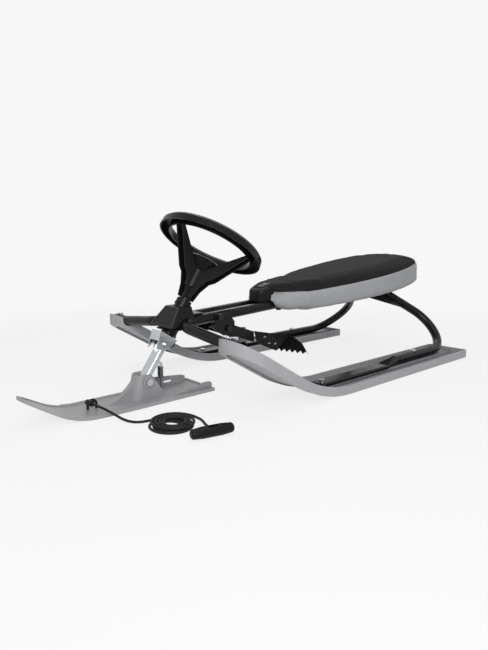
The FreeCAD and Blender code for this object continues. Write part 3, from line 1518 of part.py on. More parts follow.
def add_bolts():
    """The cross bolts with their nuts, the strut's bush and the brake's sleeve."""
    nut_bore = s.pivot_bolt_dia + 2 * s.bore_gap
    strut_grip = s.yoke_width
    ski_grip = 2 * (tower_half + s.boss_height)
    bracket_grip = 2 * bracket_outer_y
    rows = [("strut_bolt", s.strut_bolt_x, s.strut_bolt_z, strut_grip),
            ("ski_pivot_bolt", s.ski_pivot_x, s.ski_pivot_z, ski_grip),
            ("brake_pivot_bolt", s.brake_pivot_x, s.brake_pivot_z, bracket_grip),
            ("bracket_bolt", s.bracket_bolt_x, spine_z(s.bracket_bolt_x), bracket_grip)]
    for label, x, z, grip in rows:
        add(label, cross_bolt(x, z, grip, s.pivot_bolt_dia, s.pivot_head_dia, s.pivot_head_height,
                              s.pivot_nut_height + s.bore_gap))
        add(label.replace("bolt", "nut"), hexagon(Vector(x, -grip / 2, z), LEFT * -1, s.pivot_nut_across,
                                                  s.pivot_nut_height, nut_bore))
    add("strut_bush", across(s.ski_pivot_x, s.ski_pivot_z, s.strut_width, bush_dia, nut_bore))
    add("brake_sleeve", across(s.brake_pivot_x, s.brake_pivot_z, 2 * (bracket_inner_y - s.fit_gap),
                               s.sleeve_dia,
                               nut_bore))


def add_rope():
    """The rope's loop, knot, free stretches and coil, and the handle."""
    add("tow_loop", tow_loop())
    rope_points = [Vector(*point) for point in ROPE_POINTS]
    first_way = (rope_points[1] - rope_points[0]).normalize()
    knot = rod(rope_points[0] - first_way * s.tow_knot_length, first_way, s.tow_knot_length, s.tow_knot_dia)
    add("tow_knot", knot.cut(parts[-1].Shape))
    add("tow_rope", cord_tube(rope_points, "tow rope"))
    add("tow_rope_coil", rope_coil())
    add("tow_rope_tail", cord_tube([Vector(*point) for point in TAIL_POINTS], "tow rope tail"))
    add("tow_handle", tow_handle().cut(parts[-1].Shape))


build()
doc.recompute()

for piece in doc.Objects:
    if "Invalid" in piece.State or "Error" in piece.State:
        raise RuntimeError(f"{piece.Label} failed: {piece.State}")
for piece in parts:
    if piece.Shape.isNull() or not piece.Shape.isValid():
        raise RuntimeError(f"{piece.Label} has no valid shape")

os.makedirs("parts", exist_ok=True)
for piece in parts:
    piece.Shape.exportStep(f"parts/{piece.Label}.step")
    print(f"{piece.Label}: {len(piece.Shape.Solids)} solid(s), {piece.Shape.Volume / 1000:.1f} cm3")
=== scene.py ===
# %% [markdown]
# Steering sled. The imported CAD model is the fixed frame: it gives every rigid piece its shape and place, in metres,
# with +X forward, +Y to the driver's left and +Z up. This lesson gives the frame its finishes, and adds what CAD
# leaves plain: the padded seat, the braided tow rope, the stitches, the moulded ribs, the light and the camera.

# %% Load the frame
import json
import math

import bmesh
import bpy
from mathutils import Matrix, Vector
from mathutils.bvhtree import BVHTree


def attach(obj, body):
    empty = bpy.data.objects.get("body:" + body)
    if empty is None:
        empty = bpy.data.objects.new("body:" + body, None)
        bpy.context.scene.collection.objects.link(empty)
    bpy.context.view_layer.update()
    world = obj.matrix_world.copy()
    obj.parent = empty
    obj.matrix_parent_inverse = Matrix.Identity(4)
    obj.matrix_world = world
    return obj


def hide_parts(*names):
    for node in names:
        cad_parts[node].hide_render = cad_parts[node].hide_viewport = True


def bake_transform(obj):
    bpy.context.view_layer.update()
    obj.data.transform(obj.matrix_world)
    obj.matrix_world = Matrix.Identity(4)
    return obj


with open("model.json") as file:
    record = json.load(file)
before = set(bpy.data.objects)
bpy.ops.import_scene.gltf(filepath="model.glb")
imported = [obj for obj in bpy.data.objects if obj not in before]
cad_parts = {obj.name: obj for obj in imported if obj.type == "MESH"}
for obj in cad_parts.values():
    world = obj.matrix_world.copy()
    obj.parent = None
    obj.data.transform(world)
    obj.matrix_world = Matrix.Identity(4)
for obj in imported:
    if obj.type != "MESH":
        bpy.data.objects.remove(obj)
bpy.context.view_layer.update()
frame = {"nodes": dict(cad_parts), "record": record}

nodes = frame["nodes"]
MM = 0.001

# %% [markdown]
# Every finish is built from shader nodes. They could be joined by hand in the shader editor, but a script makes the
# same tree each time. One helper adds a node, sets its options and links its sockets. One function turns the sRGB hex
# value that a colour is written in into the linear light that a shader works with. Patterns have real sizes in
# millimetres, so the last helper turns such a size into a texture's scale.

# %% Node and colour helpers


def rgb(hex_text):
    """Linear RGBA of an sRGB hex value."""
    channels = [int(hex_text[i:i + 2], 16) / 255 for i in (1, 3, 5)]
    return [c / 12.92 if c <= 0.04045 else ((c + 0.055) / 1.055) ** 2.4 for c in channels] + [1.0]


def wire(tree, kind, sockets=None, **settings):
    """A new node: its settings are attributes, its sockets get a value or a link."""
    made = tree.nodes.new(kind)
    for key, value in settings.items():
        setattr(made, key, value)
    for key, value in (sockets or {}).items():
        if isinstance(value, bpy.types.NodeSocket):
            tree.links.new(value, made.inputs[key])
        else:
            made.inputs[key].default_value = value
    return made


def blank(name):
    """An empty material, its tree, and the piece's own coordinates in metres."""
    made = bpy.data.materials.new(name)
    made.use_nodes = True
    made.node_tree.nodes.clear()
    place = wire(made.node_tree, "ShaderNodeTexCoord").outputs["Object"]
    return made, made.node_tree, place


def per_metre(size_mm):
    """Texture scale for a pattern of that size in millimetres."""
    return 1 / (size_mm * MM)


print("middle grey, linear:", [round(c, 3) for c in rgb("#808080")])

# %% [markdown]
# The runners and the ski are moulded polyethylene; the wheel, the head cover and the seat's pan are polypropylene.
# Both come out of a spark-eroded mould, so they carry a fine grain, the colour is a little cloudy, and use leaves
# long faint scuffs along the sled. A picture of scuffed plastic would need every piece unwrapped first. Noise that is
# sized in millimetres fits any piece, and the same recipe with other colours and grain makes each plastic.

# %% Share of the runners' decks
# Middle of a runner, half of its deck's width between the rims, and how far up a face looks to count as level.
RUNNER_Y, DECK_HALF = 0.194, 0.0455
LEVEL_FROM, LEVEL_FULL = 0.5, 0.8


def deck_share(tree, place):
    """One on the runners' decks, between the rims and facing up, and zero elsewhere."""
    axes = wire(tree, "ShaderNodeSeparateXYZ", {0: place})
    facing = wire(tree, "ShaderNodeSeparateXYZ", {0: wire(tree, "ShaderNodeTexCoord").outputs["Normal"]})
    aside = wire(tree, "ShaderNodeMath", {0: axes.outputs["Y"]}, operation="ABSOLUTE")
    aside = wire(tree, "ShaderNodeMath", {0: aside.outputs[0], 1: RUNNER_Y}, operation="SUBTRACT")
    aside = wire(tree, "ShaderNodeMath", {0: aside.outputs[0]}, operation="ABSOLUTE")
    inside = wire(tree, "ShaderNodeMath", {0: aside.outputs[0], 1: DECK_HALF}, operation="LESS_THAN")
    level = wire(tree, "ShaderNodeMapRange", {"Value": facing.outputs["Z"], "From Min": LEVEL_FROM,
                                              "From Max": LEVEL_FULL})
    return wire(tree, "ShaderNodeMath", {0: inside.outputs[0], 1: level.outputs[0]}, operation="MULTIPLY").outputs[0]


print("runner deck:", round(2 * DECK_HALF / MM), "mm wide")

# %% Moulded plastics
CLOUD_MM, SCUFF_MM, SCUFF_STRETCH, SCUFF_DULLING = 40, 3, 0.05, 0.16
RELIEF = 0.2 * MM


def moulded(name, colour, cloud, gloss, grit_mm, specular, deck=None):
    """Moulded plastic: a cloudy colour, long dull scuffs and a fine grain, and if asked a colour for the decks."""
    made, tree, place = blank(name)
    clouds = wire(tree, "ShaderNodeTexNoise", {"Vector": place, "Scale": per_metre(CLOUD_MM), "Detail": 4.0})
    tint = wire(tree, "ShaderNodeMix", {0: clouds.outputs[0], 6: rgb(colour), 7: rgb(cloud)}, data_type="RGBA")
    # The decks' darker colour is partly the plastic's own grey and partly painted shade.
    if deck:
        tint = wire(tree, "ShaderNodeMix", {0: deck_share(tree, place), 6: tint.outputs[2], 7: rgb(deck)},
                    data_type="RGBA")
    along = wire(tree, "ShaderNodeMapping", {"Vector": place, "Scale": (SCUFF_STRETCH, 1.0, 1.0)})
    scuffs = wire(tree, "ShaderNodeTexNoise", {"Vector": along.outputs[0], "Scale": per_metre(SCUFF_MM),
                                               "Detail": 5.0})
    rough = wire(tree, "ShaderNodeMapRange", {"Value": scuffs.outputs[0], "From Min": 0.35, "From Max": 0.7,
                                              "To Min": gloss, "To Max": gloss + SCUFF_DULLING})
    # The real grain is near 0.2 mm; it is drawn coarser so that it shows.
    grit = wire(tree, "ShaderNodeTexNoise", {"Vector": place, "Scale": per_metre(grit_mm), "Detail": 2.0})
    bump = wire(tree, "ShaderNodeBump", {"Height": grit.outputs[0], "Strength": 0.14, "Distance": RELIEF})
    shader = wire(tree, "ShaderNodeBsdfPrincipled", {
        "Base Color": tint.outputs[2], "Roughness": rough.outputs[0], "Normal": bump.outputs[0],
        "IOR": 1.5, "Specular IOR Level": specular})
    wire(tree, "ShaderNodeOutputMaterial", {"Surface": shader.outputs[0]})
    return made


# Polyethylene is waxy: its highlights are broad and soft.
grey_polyethylene = moulded("grey_moulded_polyethylene", "#929297", "#8a8989", 0.36, 1.1, 0.4)
# The deck is etched for grip and is drawn darker than the rims, partly as the etched plastic's own grey
# and partly as painted shade in the hollow between the rims.
runner_polyethylene = moulded("grey_polyethylene_deck_etched_and_painted_shade", "#9c9ca1", "#939394", 0.36, 1.1, 0.4, "#5d5e65")
# Black polypropylene is harder: it stays deep black, with narrow dim highlights.
black_polypropylene = moulded("black_moulded_polypropylene", "#0e0e10", "#131315", 0.25, 0.9, 0.15)
# The cover's raised border comes from a polished part of the mould, so it mirrors the light a little.
# Its base colour is a lighter black than the cover's, a painted highlight for the light its edges catch.
gloss_and_painted_highlight_polypropylene = moulded("black_gloss_polypropylene_with_painted_highlight", "#1c1c1e", "#222224", 0.12, 0.9, 0.5)
print("plastics:", grey_polyethylene.name, runner_polyethylene.name, black_polypropylene.name,
      gloss_and_painted_highlight_polypropylene.name)

# %% [markdown]
# The tubes, plates and the brake are steel under a black powder coat, a dry paint that is sprayed on and melted. It
# flows into a faint orange peel. A plain glossy black would show long hard highlights on the tubes, so a weak bump
# breaks them up, and a cloud of dust dulls them in places.

# %% Powder-coated steel
# Real orange peel is about 1 mm from crest to crest; it is drawn coarser so that it shows.
PEEL_MM, DUST_MM = 2.4, 25


def powder_coat():
    """Black powder coat: satin, with soft uneven highlights."""
    made, tree, place = blank("black_powder_coated_steel")
    peel = wire(tree, "ShaderNodeTexNoise", {"Vector": place, "Scale": per_metre(PEEL_MM), "Detail": 1.0})
    bump = wire(tree, "ShaderNodeBump", {"Height": peel.outputs[0], "Strength": 0.02, "Distance": RELIEF})
    dust = wire(tree, "ShaderNodeTexNoise", {"Vector": place, "Scale": per_metre(DUST_MM), "Detail": 5.0})
    rough = wire(tree, "ShaderNodeMapRange", {"Value": dust.outputs[0], "From Min": 0.3, "From Max": 0.75,
                                              "To Min": 0.2, "To Max": 0.34})
    tint = wire(tree, "ShaderNodeMix", {0: dust.outputs[0], 6: rgb("#0b0b0d"), 7: rgb("#121213")}, data_type="RGBA")
    shader = wire(tree, "ShaderNodeBsdfPrincipled", {
        "Base Color": tint.outputs[2], "Roughness": rough.outputs[0], "Normal": bump.outputs[0],
        "IOR": 1.5, "Specular IOR Level": 0.18})
    wire(tree, "ShaderNodeOutputMaterial", {"Surface": shader.outputs[0]})
    return made


coated_steel = powder_coat()
print("coated steel:", coated_steel.name)

# %% [markdown]
# Yoke, strut and most bolts are zinc plated, the bolts of the brake and the seat have a black zinc, and the springs are
# oiled wire. All are bare metal, which mirrors what is round it. They could be three trees, but they differ only in
# colour and gloss. Fine lines from drawing the steel run along the leaning strut and dull it a little.

# %% Plated steel and spring wire
SPANGLE_MM, DRAWN_MM, DRAWN_STRETCH, DRAWN_DULLING = 9, 2, 0.08, 0.08
STRUT_LEAN = math.radians(55)


def plated(name, colour, cloud, gloss):
    """Metal with a cloudy tint, and drawn lines that change its gloss; the real lines are finer than the drawn ones."""
    made, tree, place = blank(name)
    spangle = wire(tree, "ShaderNodeTexNoise", {"Vector": place, "Scale": per_metre(SPANGLE_MM), "Detail": 3.0})
    tint = wire(tree, "ShaderNodeMix", {0: spangle.outputs[0], 6: rgb(colour), 7: rgb(cloud)}, data_type="RGBA")
    along = wire(tree, "ShaderNodeMapping", {"Vector": place, "Rotation": (0, STRUT_LEAN, 0),
                                             "Scale": (DRAWN_STRETCH, 1.0, 1.0)})
    drawn = wire(tree, "ShaderNodeTexNoise", {"Vector": along.outputs[0], "Scale": per_metre(DRAWN_MM), "Detail": 2.0})
    rough = wire(tree, "ShaderNodeMapRange", {"Value": drawn.outputs[0], "From Min": 0.3, "From Max": 0.7,
                                              "To Min": gloss, "To Max": gloss + DRAWN_DULLING})
    shader = wire(tree, "ShaderNodeBsdfPrincipled", {
        "Base Color": tint.outputs[2], "Roughness": rough.outputs[0], "Metallic": 1.0})
    wire(tree, "ShaderNodeOutputMaterial", {"Surface": shader.outputs[0]})
    return made


# Clear zinc is bright with a cool tint; oil and black zinc make the metal dark, with wider highlights.
zinc_plate = plated("zinc_plated_steel", "#c6ccd2", "#b2b6b6", 0.2)
spring_wire = plated("oiled_spring_steel", "#5a5b60", "#47484c", 0.32)
black_zinc = plated("black_zinc_plated_steel", "#3a3b3e", "#2c2d30", 0.3)
print("metals:", zinc_plate.name, spring_wire.name, black_zinc.name)

# %% [markdown]
# A small moulded rubber block cushions the strut in its yoke. Rubber hardly shines, and wax from inside it comes out
# as a grey bloom. One noise gives both the bloom's colour and a slight unevenness, because they come together.

# %% Rubber
BLOOM_MM = 6


def matt_rubber():
    """Black rubber: nearly no highlight, and a patchy grey bloom."""
    made, tree, place = blank("black_rubber")
    bloom = wire(tree, "ShaderNodeTexNoise", {"Vector": place, "Scale": per_metre(BLOOM_MM), "Detail": 4.0})
    tint = wire(tree, "ShaderNodeMix", {0: bloom.outputs[0], 6: rgb("#131313"), 7: rgb("#1f1f1e")}, data_type="RGBA")
    bump = wire(tree, "ShaderNodeBump", {"Height": bloom.outputs[0], "Strength": 0.2, "Distance": RELIEF})
    shader = wire(tree, "ShaderNodeBsdfPrincipled", {
        "Base Color": tint.outputs[2], "Normal": bump.outputs[0], "Roughness": 0.72, "IOR": 1.5})
    wire(tree, "ShaderNodeOutputMaterial", {"Surface": shader.outputs[0]})
    return made


rubber = matt_rubber()
print("rubber:", rubber.name)

# %% [markdown]
# The tow rope is braided polypropylene. The strands could be a pattern in the material, but then the rope's edge would
# stay straight, so the braid is real geometry. The material only adds the fibres: thin light and dark streaks with a
# little sheen.

# %% Braided cord
# A real fibre is near 0.1 mm; it is drawn coarser so that it shows.
FIBRE_MM, FIBRE_RELIEF = 0.9, 0.3 * MM


def braid():
    """Black cord: dull and fibrous, with a faint sheen at its edges."""
    made, tree, place = blank("black_braided_polypropylene")
    fibre = wire(tree, "ShaderNodeTexNoise", {"Vector": place, "Scale": per_metre(FIBRE_MM), "Detail": 3.0})
    tint = wire(tree, "ShaderNodeMix", {0: fibre.outputs[0], 6: rgb("#0a0a0b"), 7: rgb("#1c1c1c")}, data_type="RGBA")
    bump = wire(tree, "ShaderNodeBump", {"Height": fibre.outputs[0], "Strength": 0.5, "Distance": FIBRE_RELIEF})
    shader = wire(tree, "ShaderNodeBsdfPrincipled", {
        "Base Color": tint.outputs[2], "Normal": bump.outputs[0], "Roughness": 0.6, "IOR": 1.49,
        "Specular IOR Level": 0.2, "Sheen Weight": 0.04})
    wire(tree, "ShaderNodeOutputMaterial", {"Surface": shader.outputs[0]})
    return made


braided_cord = braid()
print("cord:", braided_cord.name)

# %% [markdown]
# Each CAD node already knows its material slot in the record. Finishes could be given one object at a time, but a loop
# over the record misses none. The runners and the black bolts then get a finish of their own.

# %% Dress the CAD nodes
BLACK_ZINC_NODES = ("bracket_bolt", "bracket_nut", "brake_pivot_bolt", "brake_pivot_nut", "seat_bolts")
finishes = {"grey_plastic": grey_polyethylene, "black_plastic": black_polypropylene, "black_paint": coated_steel,
            "zinc_steel": zinc_plate, "spring_steel": spring_wire, "black_rubber": rubber,
            "black_cord": braided_cord, "seat_cover": black_polypropylene}
for part in frame["record"]["subparts"]:
    mesh = nodes[part["node"]].data
    mesh.materials.clear()
    mesh.materials.append(finishes[part["material_slot"]])
for side in ("left", "right"):
    nodes[side + "_runner"].data.materials[0] = runner_polyethylene
for name in BLACK_ZINC_NODES:
    nodes[name].data.materials[0] = black_zinc

# %% [markdown]
# New pieces are plain meshes at the origin, with their place in the mesh, as the CAD nodes are. An object could be
# moved into place instead, but then its pattern would slide in the export. One helper makes the object, gives it a
# finish, and lets it ride on a body of the sled. The others build a mesh, keep what a modifier made, sweep an outline
# along a path, and fade smoothly from one value to another.

# %% Piece helpers
MERGE_DISTANCE = 1e-6


def piece(name, mesh, finish, body, smooth=True):
    """An object with one finish that rides on a body; a piece that is blended between two bodies gives none."""
    made = bpy.data.objects.new(name, mesh)
    bpy.context.scene.collection.objects.link(made)
    mesh.materials.clear()
    mesh.materials.append(finish)
    for face in mesh.polygons:
        face.use_smooth = smooth
    if body:
        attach(made, body)
    return made


def mesh_of(name, verts, faces):
    """A mesh with its doubles merged and its faces turned outwards."""
    mesh = bpy.data.meshes.new(name)
    mesh.from_pydata([tuple(v) for v in verts], [], faces)
    shape = bmesh.new()
    shape.from_mesh(mesh)
    bmesh.ops.remove_doubles(shape, verts=shape.verts, dist=MERGE_DISTANCE)
    bmesh.ops.recalc_face_normals(shape, faces=shape.faces)
    shape.to_mesh(mesh)
    shape.free()
    return mesh


def evaluated(obj, name):
    """Plain mesh of an object with its modifiers; the object itself goes."""
    graph = bpy.context.evaluated_depsgraph_get()
    mesh = bpy.data.meshes.new_from_object(obj.evaluated_get(graph), depsgraph=graph)
    mesh.name = name
    bpy.data.objects.remove(obj)
    return mesh


print("doubles merge within", MERGE_DISTANCE / MM, "mm")

# %% Sweep and fade helpers


def tube_mesh(name, path, section):
    """Sweep along a path; section(run) gives the outline's offsets to the side and up, that far along."""
    path = [Vector(p) for p in path]
    ways = [(path[min(i + 1, len(path) - 1)] - path[max(i - 1, 0)]).normalized() for i in range(len(path))]
    side = ways[0].orthogonal().normalized()
    verts, faces, run = [], [], 0.0
    for i, (point, way) in enumerate(zip(path, ways)):
        if i:
            run += (point - path[i - 1]).length
            side = ways[i - 1].rotation_difference(way) @ side
        side = (side - way * side.dot(way)).normalized()
        up = way.cross(side)
        outline = section(run)
        verts += [point + side * a + up * b for a, b in outline]
        count = len(outline)
        if i:
            for k in range(count):
                a, b = (i - 1) * count + k, (i - 1) * count + (k + 1) % count
                faces.append((a, b, b + count, a + count))
    faces.append(tuple(reversed(range(count))))
    faces.append(tuple(range(len(verts) - count, len(verts))))
    return mesh_of(name, verts, faces)


def ease(value):
    """Smooth step from 0 to 1."""
    value = min(max(value, 0), 1)
    return value * value * (3 - 2 * value)


print("a quarter of the way eases to", ease(0.25))

# %% [markdown]
# The camera stands in front of the sled, on the driver's left, at the height of the wheel, and looks down a little. It
# could be matched by eye, but straight edges and known sizes in the photograph give its place, lens and shift more
# surely. The shift slides the frame without tilting the view, as cropping does.

# %% Camera
CAMERA_PLACE = (0.8717, 0.8784, 0.3320)
TURN, DIP, ROLL = math.radians(-127.62), math.radians(10.65), math.radians(-0.90)
LENS_MM, SENSOR_MM, SHIFT_X, SHIFT_Y = 29.96, 36, 0.0832, 0.0087
view_way = Vector((math.cos(DIP) * math.cos(TURN), math.cos(DIP) * math.sin(TURN), -math.sin(DIP)))
right = view_way.cross(Vector((0, 0, 1))).normalized()
upward = right.cross(view_way)
rolled_right = right * math.cos(ROLL) + upward * math.sin(ROLL)
rolled_up = upward * math.cos(ROLL) - right * math.sin(ROLL)
lens = bpy.data.cameras.new("photo_camera")
lens.lens = LENS_MM
lens.sensor_width = SENSOR_MM
lens.shift_x = SHIFT_X
lens.shift_y = SHIFT_Y
camera = bpy.data.objects.new("photo_camera", lens)
camera_axes = Matrix((rolled_right, rolled_up, -view_way)).transposed().to_4x4()
camera.matrix_world = Matrix.Translation(CAMERA_PLACE) @ camera_axes
bpy.context.scene.collection.objects.link(camera)
bpy.context.scene.camera = camera
print("camera at", tuple(round(c, 3) for c in camera.matrix_world.translation))

# %% [markdown]
# The tow rope leaves its knot on the ski, falls to the floor, lies in a loose coil of two layers and ends in the
# handle. A rope could be simulated, but it would not fall into this coil. One NURBS spline carries the whole length
# instead, because it rounds every corner by itself. The braid is a tube swept along that spline, whose outline swells
# where the strands of either hand pass over.

# %% Rope route
ROPE_DIA = 0.005
# From the knot to the coil and from the coil to the handle, in millimetres.
ROPE_RUN = [(436, 16, 20), (433, 34, 19.5), (428, 54, 17), (421, 73, 11), (414, 90, 5), (407, 104, 3.2), (397, 114, 3),
            (381, 118.43, 3)]
ROPE_TAIL = [(314.9, 166, 8.7), (315.4, 181, 8.7), (320.6, 196, 10), (328.7, 211, 11.2), (334, 226, 11.6),
             (337, 240, 11.5)]
# The coil's middle, its widest and narrowest turn, the number of turns, and the part of one in which it climbs.
COIL_X, COIL_Y, OUTER, INNER, TURNS, CLIMB = 360, 161, 42, 18, 7.25, 0.5
COIL_START, POINTS_PER_TURN = math.radians(270), 16
LOWER_Z, LAYER_RISE = 3, 5.7
# The coil is loose: its lower layer lies further forward than its upper one.
LOWER_SHIFT, UPPER_SHIFT = 4.5, -3.0
coil_points = []
for step in range(int(TURNS * POINTS_PER_TURN) + 1):
    turn = step / POINTS_PER_TURN
    angle = COIL_START - 2 * math.pi * turn
    away = max(abs(turn - TURNS / 2) - CLIMB / 2, 0)
    radius = INNER + (OUTER - INNER) / (TURNS / 2 - CLIMB / 2) * away
    climb = ease((turn - TURNS / 2) / CLIMB + 0.5)
    layer_x = COIL_X + LOWER_SHIFT + (UPPER_SHIFT - LOWER_SHIFT) * climb
    coil_points.append((layer_x + radius * math.cos(angle), COIL_Y + radius * math.sin(angle),
                        LOWER_Z + LAYER_RISE * climb))
route = [Vector(p) * MM for p in ROPE_RUN + coil_points + ROPE_TAIL]
print("rope route:", len(route), "points,", len(coil_points), "of them in the coil")

# %% Rope line
LINE_RESOLUTION = 10
line = bpy.data.curves.new("rope_line", "CURVE")
line.dimensions = "3D"
line.resolution_u = LINE_RESOLUTION
spline = line.splines.new("NURBS")
spline.points.add(len(route) - 1)
for target, point in zip(spline.points, route):
    target.co = (*point, 1.0)
spline.order_u = 3
spline.use_endpoint_u = True
line_object = bpy.data.objects.new("rope_line", line)
bpy.context.scene.collection.objects.link(line_object)
bpy.context.view_layer.update()
line_mesh = evaluated(line_object, "rope_line")
rope_path = [v.co.copy() for v in line_mesh.vertices]

# %% Braid along the line
OUTLINE_POINTS, STRANDS, BRAID_PITCH, BRAID_SWELL = 16, 4, 0.022, 0.07


def braid_outline(run):
    """Round outline with the strands of either hand, which go round once in each braid pitch."""
    outline = []
    twist = 2 * math.pi * run / BRAID_PITCH
    for k in range(OUTLINE_POINTS):
        angle = 2 * math.pi * k / OUTLINE_POINTS
        over = max(math.cos(STRANDS * (angle + twist)), math.cos(STRANDS * (angle - twist)))
        radius = ROPE_DIA / 2 * (1 - BRAID_SWELL + BRAID_SWELL * over)
        outline.append((radius * math.cos(angle), radius * math.sin(angle)))
    return outline


rope = piece("tow_rope_braid", tube_mesh("tow_rope_braid", rope_path, braid_outline), braided_cord, "ski")
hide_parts("tow_rope", "tow_rope_coil", "tow_rope_tail")
print("braid:", len(rope.data.polygons), "faces")

# %% [markdown]
# The seat is foam in a sewn cover: black woven polyester on top, grey vinyl-coated fabric round the side. Two pieces
# with two materials would need a cut along the seam, and its steps would show. One mesh is used instead, where a value
# on each point says how far above the seam it lies, and one material changes from vinyl to weave where it is zero.

# %% Seat material
# Thread spacing is about 0.6 mm on the real cloth; it is drawn coarser so that the weave shows, and so is the grain.
THREAD_MM, VINYL_GRAIN_MM, CREASE_MM = 1.8, 2.2, 34
# A wave texture of scale 1 repeats at this distance in metres.
WAVE_SPACING = 0.31416
SEAM_BLUR, COVER_RELIEF, GRAIN_SHARE = 0.0007, 0.6 * MM, 0.35


def seat_cover():
    """Matt woven cloth above the seam, and below it vinyl with a leather grain, soft creases and a dull shine."""
    made, tree, place = blank("woven_polyester_top_and_vinyl_band")
    height = wire(tree, "ShaderNodeAttribute", attribute_name="above_seam").outputs["Fac"]
    band = wire(tree, "ShaderNodeMapRange", {"Value": height, "From Min": -SEAM_BLUR, "From Max": SEAM_BLUR,
                                             "To Min": 1.0, "To Max": 0.0}).outputs[0]
    thread = WAVE_SPACING / (THREAD_MM * MM)
    warp = wire(tree, "ShaderNodeTexWave", {"Vector": place, "Scale": thread, "Distortion": 0.6}, bands_direction="X")
    weft = wire(tree, "ShaderNodeTexWave", {"Vector": place, "Scale": thread, "Distortion": 0.6}, bands_direction="Y")
    weave = wire(tree, "ShaderNodeMath", {0: warp.outputs[1], 1: weft.outputs[1]}, operation="MULTIPLY")
    grain = wire(tree, "ShaderNodeTexVoronoi", {"Vector": place, "Scale": per_metre(VINYL_GRAIN_MM)})
    crease = wire(tree, "ShaderNodeTexNoise", {"Vector": place, "Scale": per_metre(CREASE_MM), "Detail": 3.0})
    soft = wire(tree, "ShaderNodeMath", {0: grain.outputs[0], 1: GRAIN_SHARE, 2: crease.outputs[0]},
                operation="MULTIPLY_ADD")
    relief = wire(tree, "ShaderNodeMix", {0: band, 2: weave.outputs[0], 3: soft.outputs[0]}, data_type="FLOAT")
    bump = wire(tree, "ShaderNodeBump", {"Height": relief.outputs[0], "Strength": 0.35, "Distance": COVER_RELIEF})
    cloth = wire(tree, "ShaderNodeMix", {0: weave.outputs[0], 6: rgb("#1b1b1c"), 7: rgb("#232324")}, data_type="RGBA")
    vinyl = wire(tree, "ShaderNodeMix", {0: crease.outputs[0], 6: rgb("#9a9b9e"), 7: rgb("#919294")}, data_type="RGBA")
    tint = wire(tree, "ShaderNodeMix", {0: band, 6: cloth.outputs[2], 7: vinyl.outputs[2]}, data_type="RGBA")
    rough = wire(tree, "ShaderNodeMapRange", {"Value": band, "To Min": 0.82, "To Max": 0.5})
    shader = wire(tree, "ShaderNodeBsdfPrincipled", {
        "Base Color": tint.outputs[2], "Roughness": rough.outputs[0], "Normal": bump.outputs[0], "IOR": 1.45,
        "Specular IOR Level": 0.1})
    wire(tree, "ShaderNodeOutputMaterial", {"Surface": shader.outputs[0]})
    return made


cover_cloth = seat_cover()
print("seat cover:", cover_cloth.name)

# %% [markdown]
# At the front the same cover runs over the hood of the seat's pan and narrows to a nose. A flat sheet could be dropped
# on the hood as cloth, but it would slide off its sides. So a grid is laid out in the hood's outline, rays from above
# set it on the seat, and low points rise to the mean of those before and behind, as a tight cover bridges a hollow.

# %% Heights of the seat
DOWN, RAY_START_Z = Vector((0, 0, -1)), 0.4
# Places along the pan's hood, from the pad to the nose, and half of the hood's width there.
HOOD = ((-0.160, 0.080), (-0.0817, 0.061), (-0.0447, 0.0450), (-0.0152, 0.0300), (0.0029, 0.0205), (0.0062, 0.0160))
# The hood's edge is rounded, so rays try these shares of the way from the middle until one meets the seat.
RAY_SHARES = (0.9, 0.8, 0.65, 0.4, 0.1)


def rays_of(mesh):
    """A tree of a mesh's faces that rays can be cast at."""
    return BVHTree.FromPolygons([v.co for v in mesh.vertices], [tuple(p.vertices) for p in mesh.polygons])


hood_rays, cushion_rays = [rays_of(nodes[name].data) for name in ("seat_base", "seat_cushion")]


def hood_half(x):
    """Half of the hood's width at a place along it."""
    for (x0, w0), (x1, w1) in zip(HOOD, HOOD[1:]):
        if x <= x1:
            return w0 + (w1 - w0) * (x - x0) / (x1 - x0)
    return HOOD[-1][1]


def seat_top(x, y):
    """Height of the seat at a place, taken a little further in, and further still where no ray meets the seat."""
    for share in RAY_SHARES:
        start = Vector((x, share * y, RAY_START_Z))
        hits = [rays.ray_cast(start, DOWN)[0] for rays in (hood_rays, cushion_rays)]
        found = [hit.z for hit in hits if hit is not None]
        if found:
            return max(found)
    raise ValueError(f"no seat at {x:.3f}, {y:.3f}")


print("seat above the hood's middle:", round(seat_top(HOOD[2][0], 0.0), 4), "m")

# %% Tight grid over the hood
NOSE_ROWS, NOSE_COLUMNS, TIGHTEN_ROUNDS = 48, 28, 60
cover_rows = []
for i in range(NOSE_ROWS + 1):
    x = HOOD[0][0] + (HOOD[-1][0] - HOOD[0][0]) * i / NOSE_ROWS
    across = [hood_half(x) * (2 * j / NOSE_COLUMNS - 1) for j in range(NOSE_COLUMNS + 1)]
    cover_rows.append([Vector((x, y, seat_top(x, y))) for y in across])
for _ in range(TIGHTEN_ROUNDS):
    heights = [[p.z for p in points] for points in cover_rows]
    for i in range(1, NOSE_ROWS):
        for j in range(NOSE_COLUMNS + 1):
            mean = (heights[i - 1][j] + heights[i + 1][j]) / 2
            cover_rows[i][j].z = max(heights[i][j], mean)
print("grid over the hood:", len(cover_rows), "rows of", len(cover_rows[0]), "points")

# %% Nose of the seat cover
COVER_RISE, COVER_DIP, COVER_DEPTH, DIP_LENGTH = 0.0012, 0.004, 0.011, 0.05


def cover_rise(x):
    """The cover lies just above the hood and dips into the pad behind it."""
    return COVER_RISE - COVER_DIP * ease((HOOD[1][0] - x) / DIP_LENGTH)


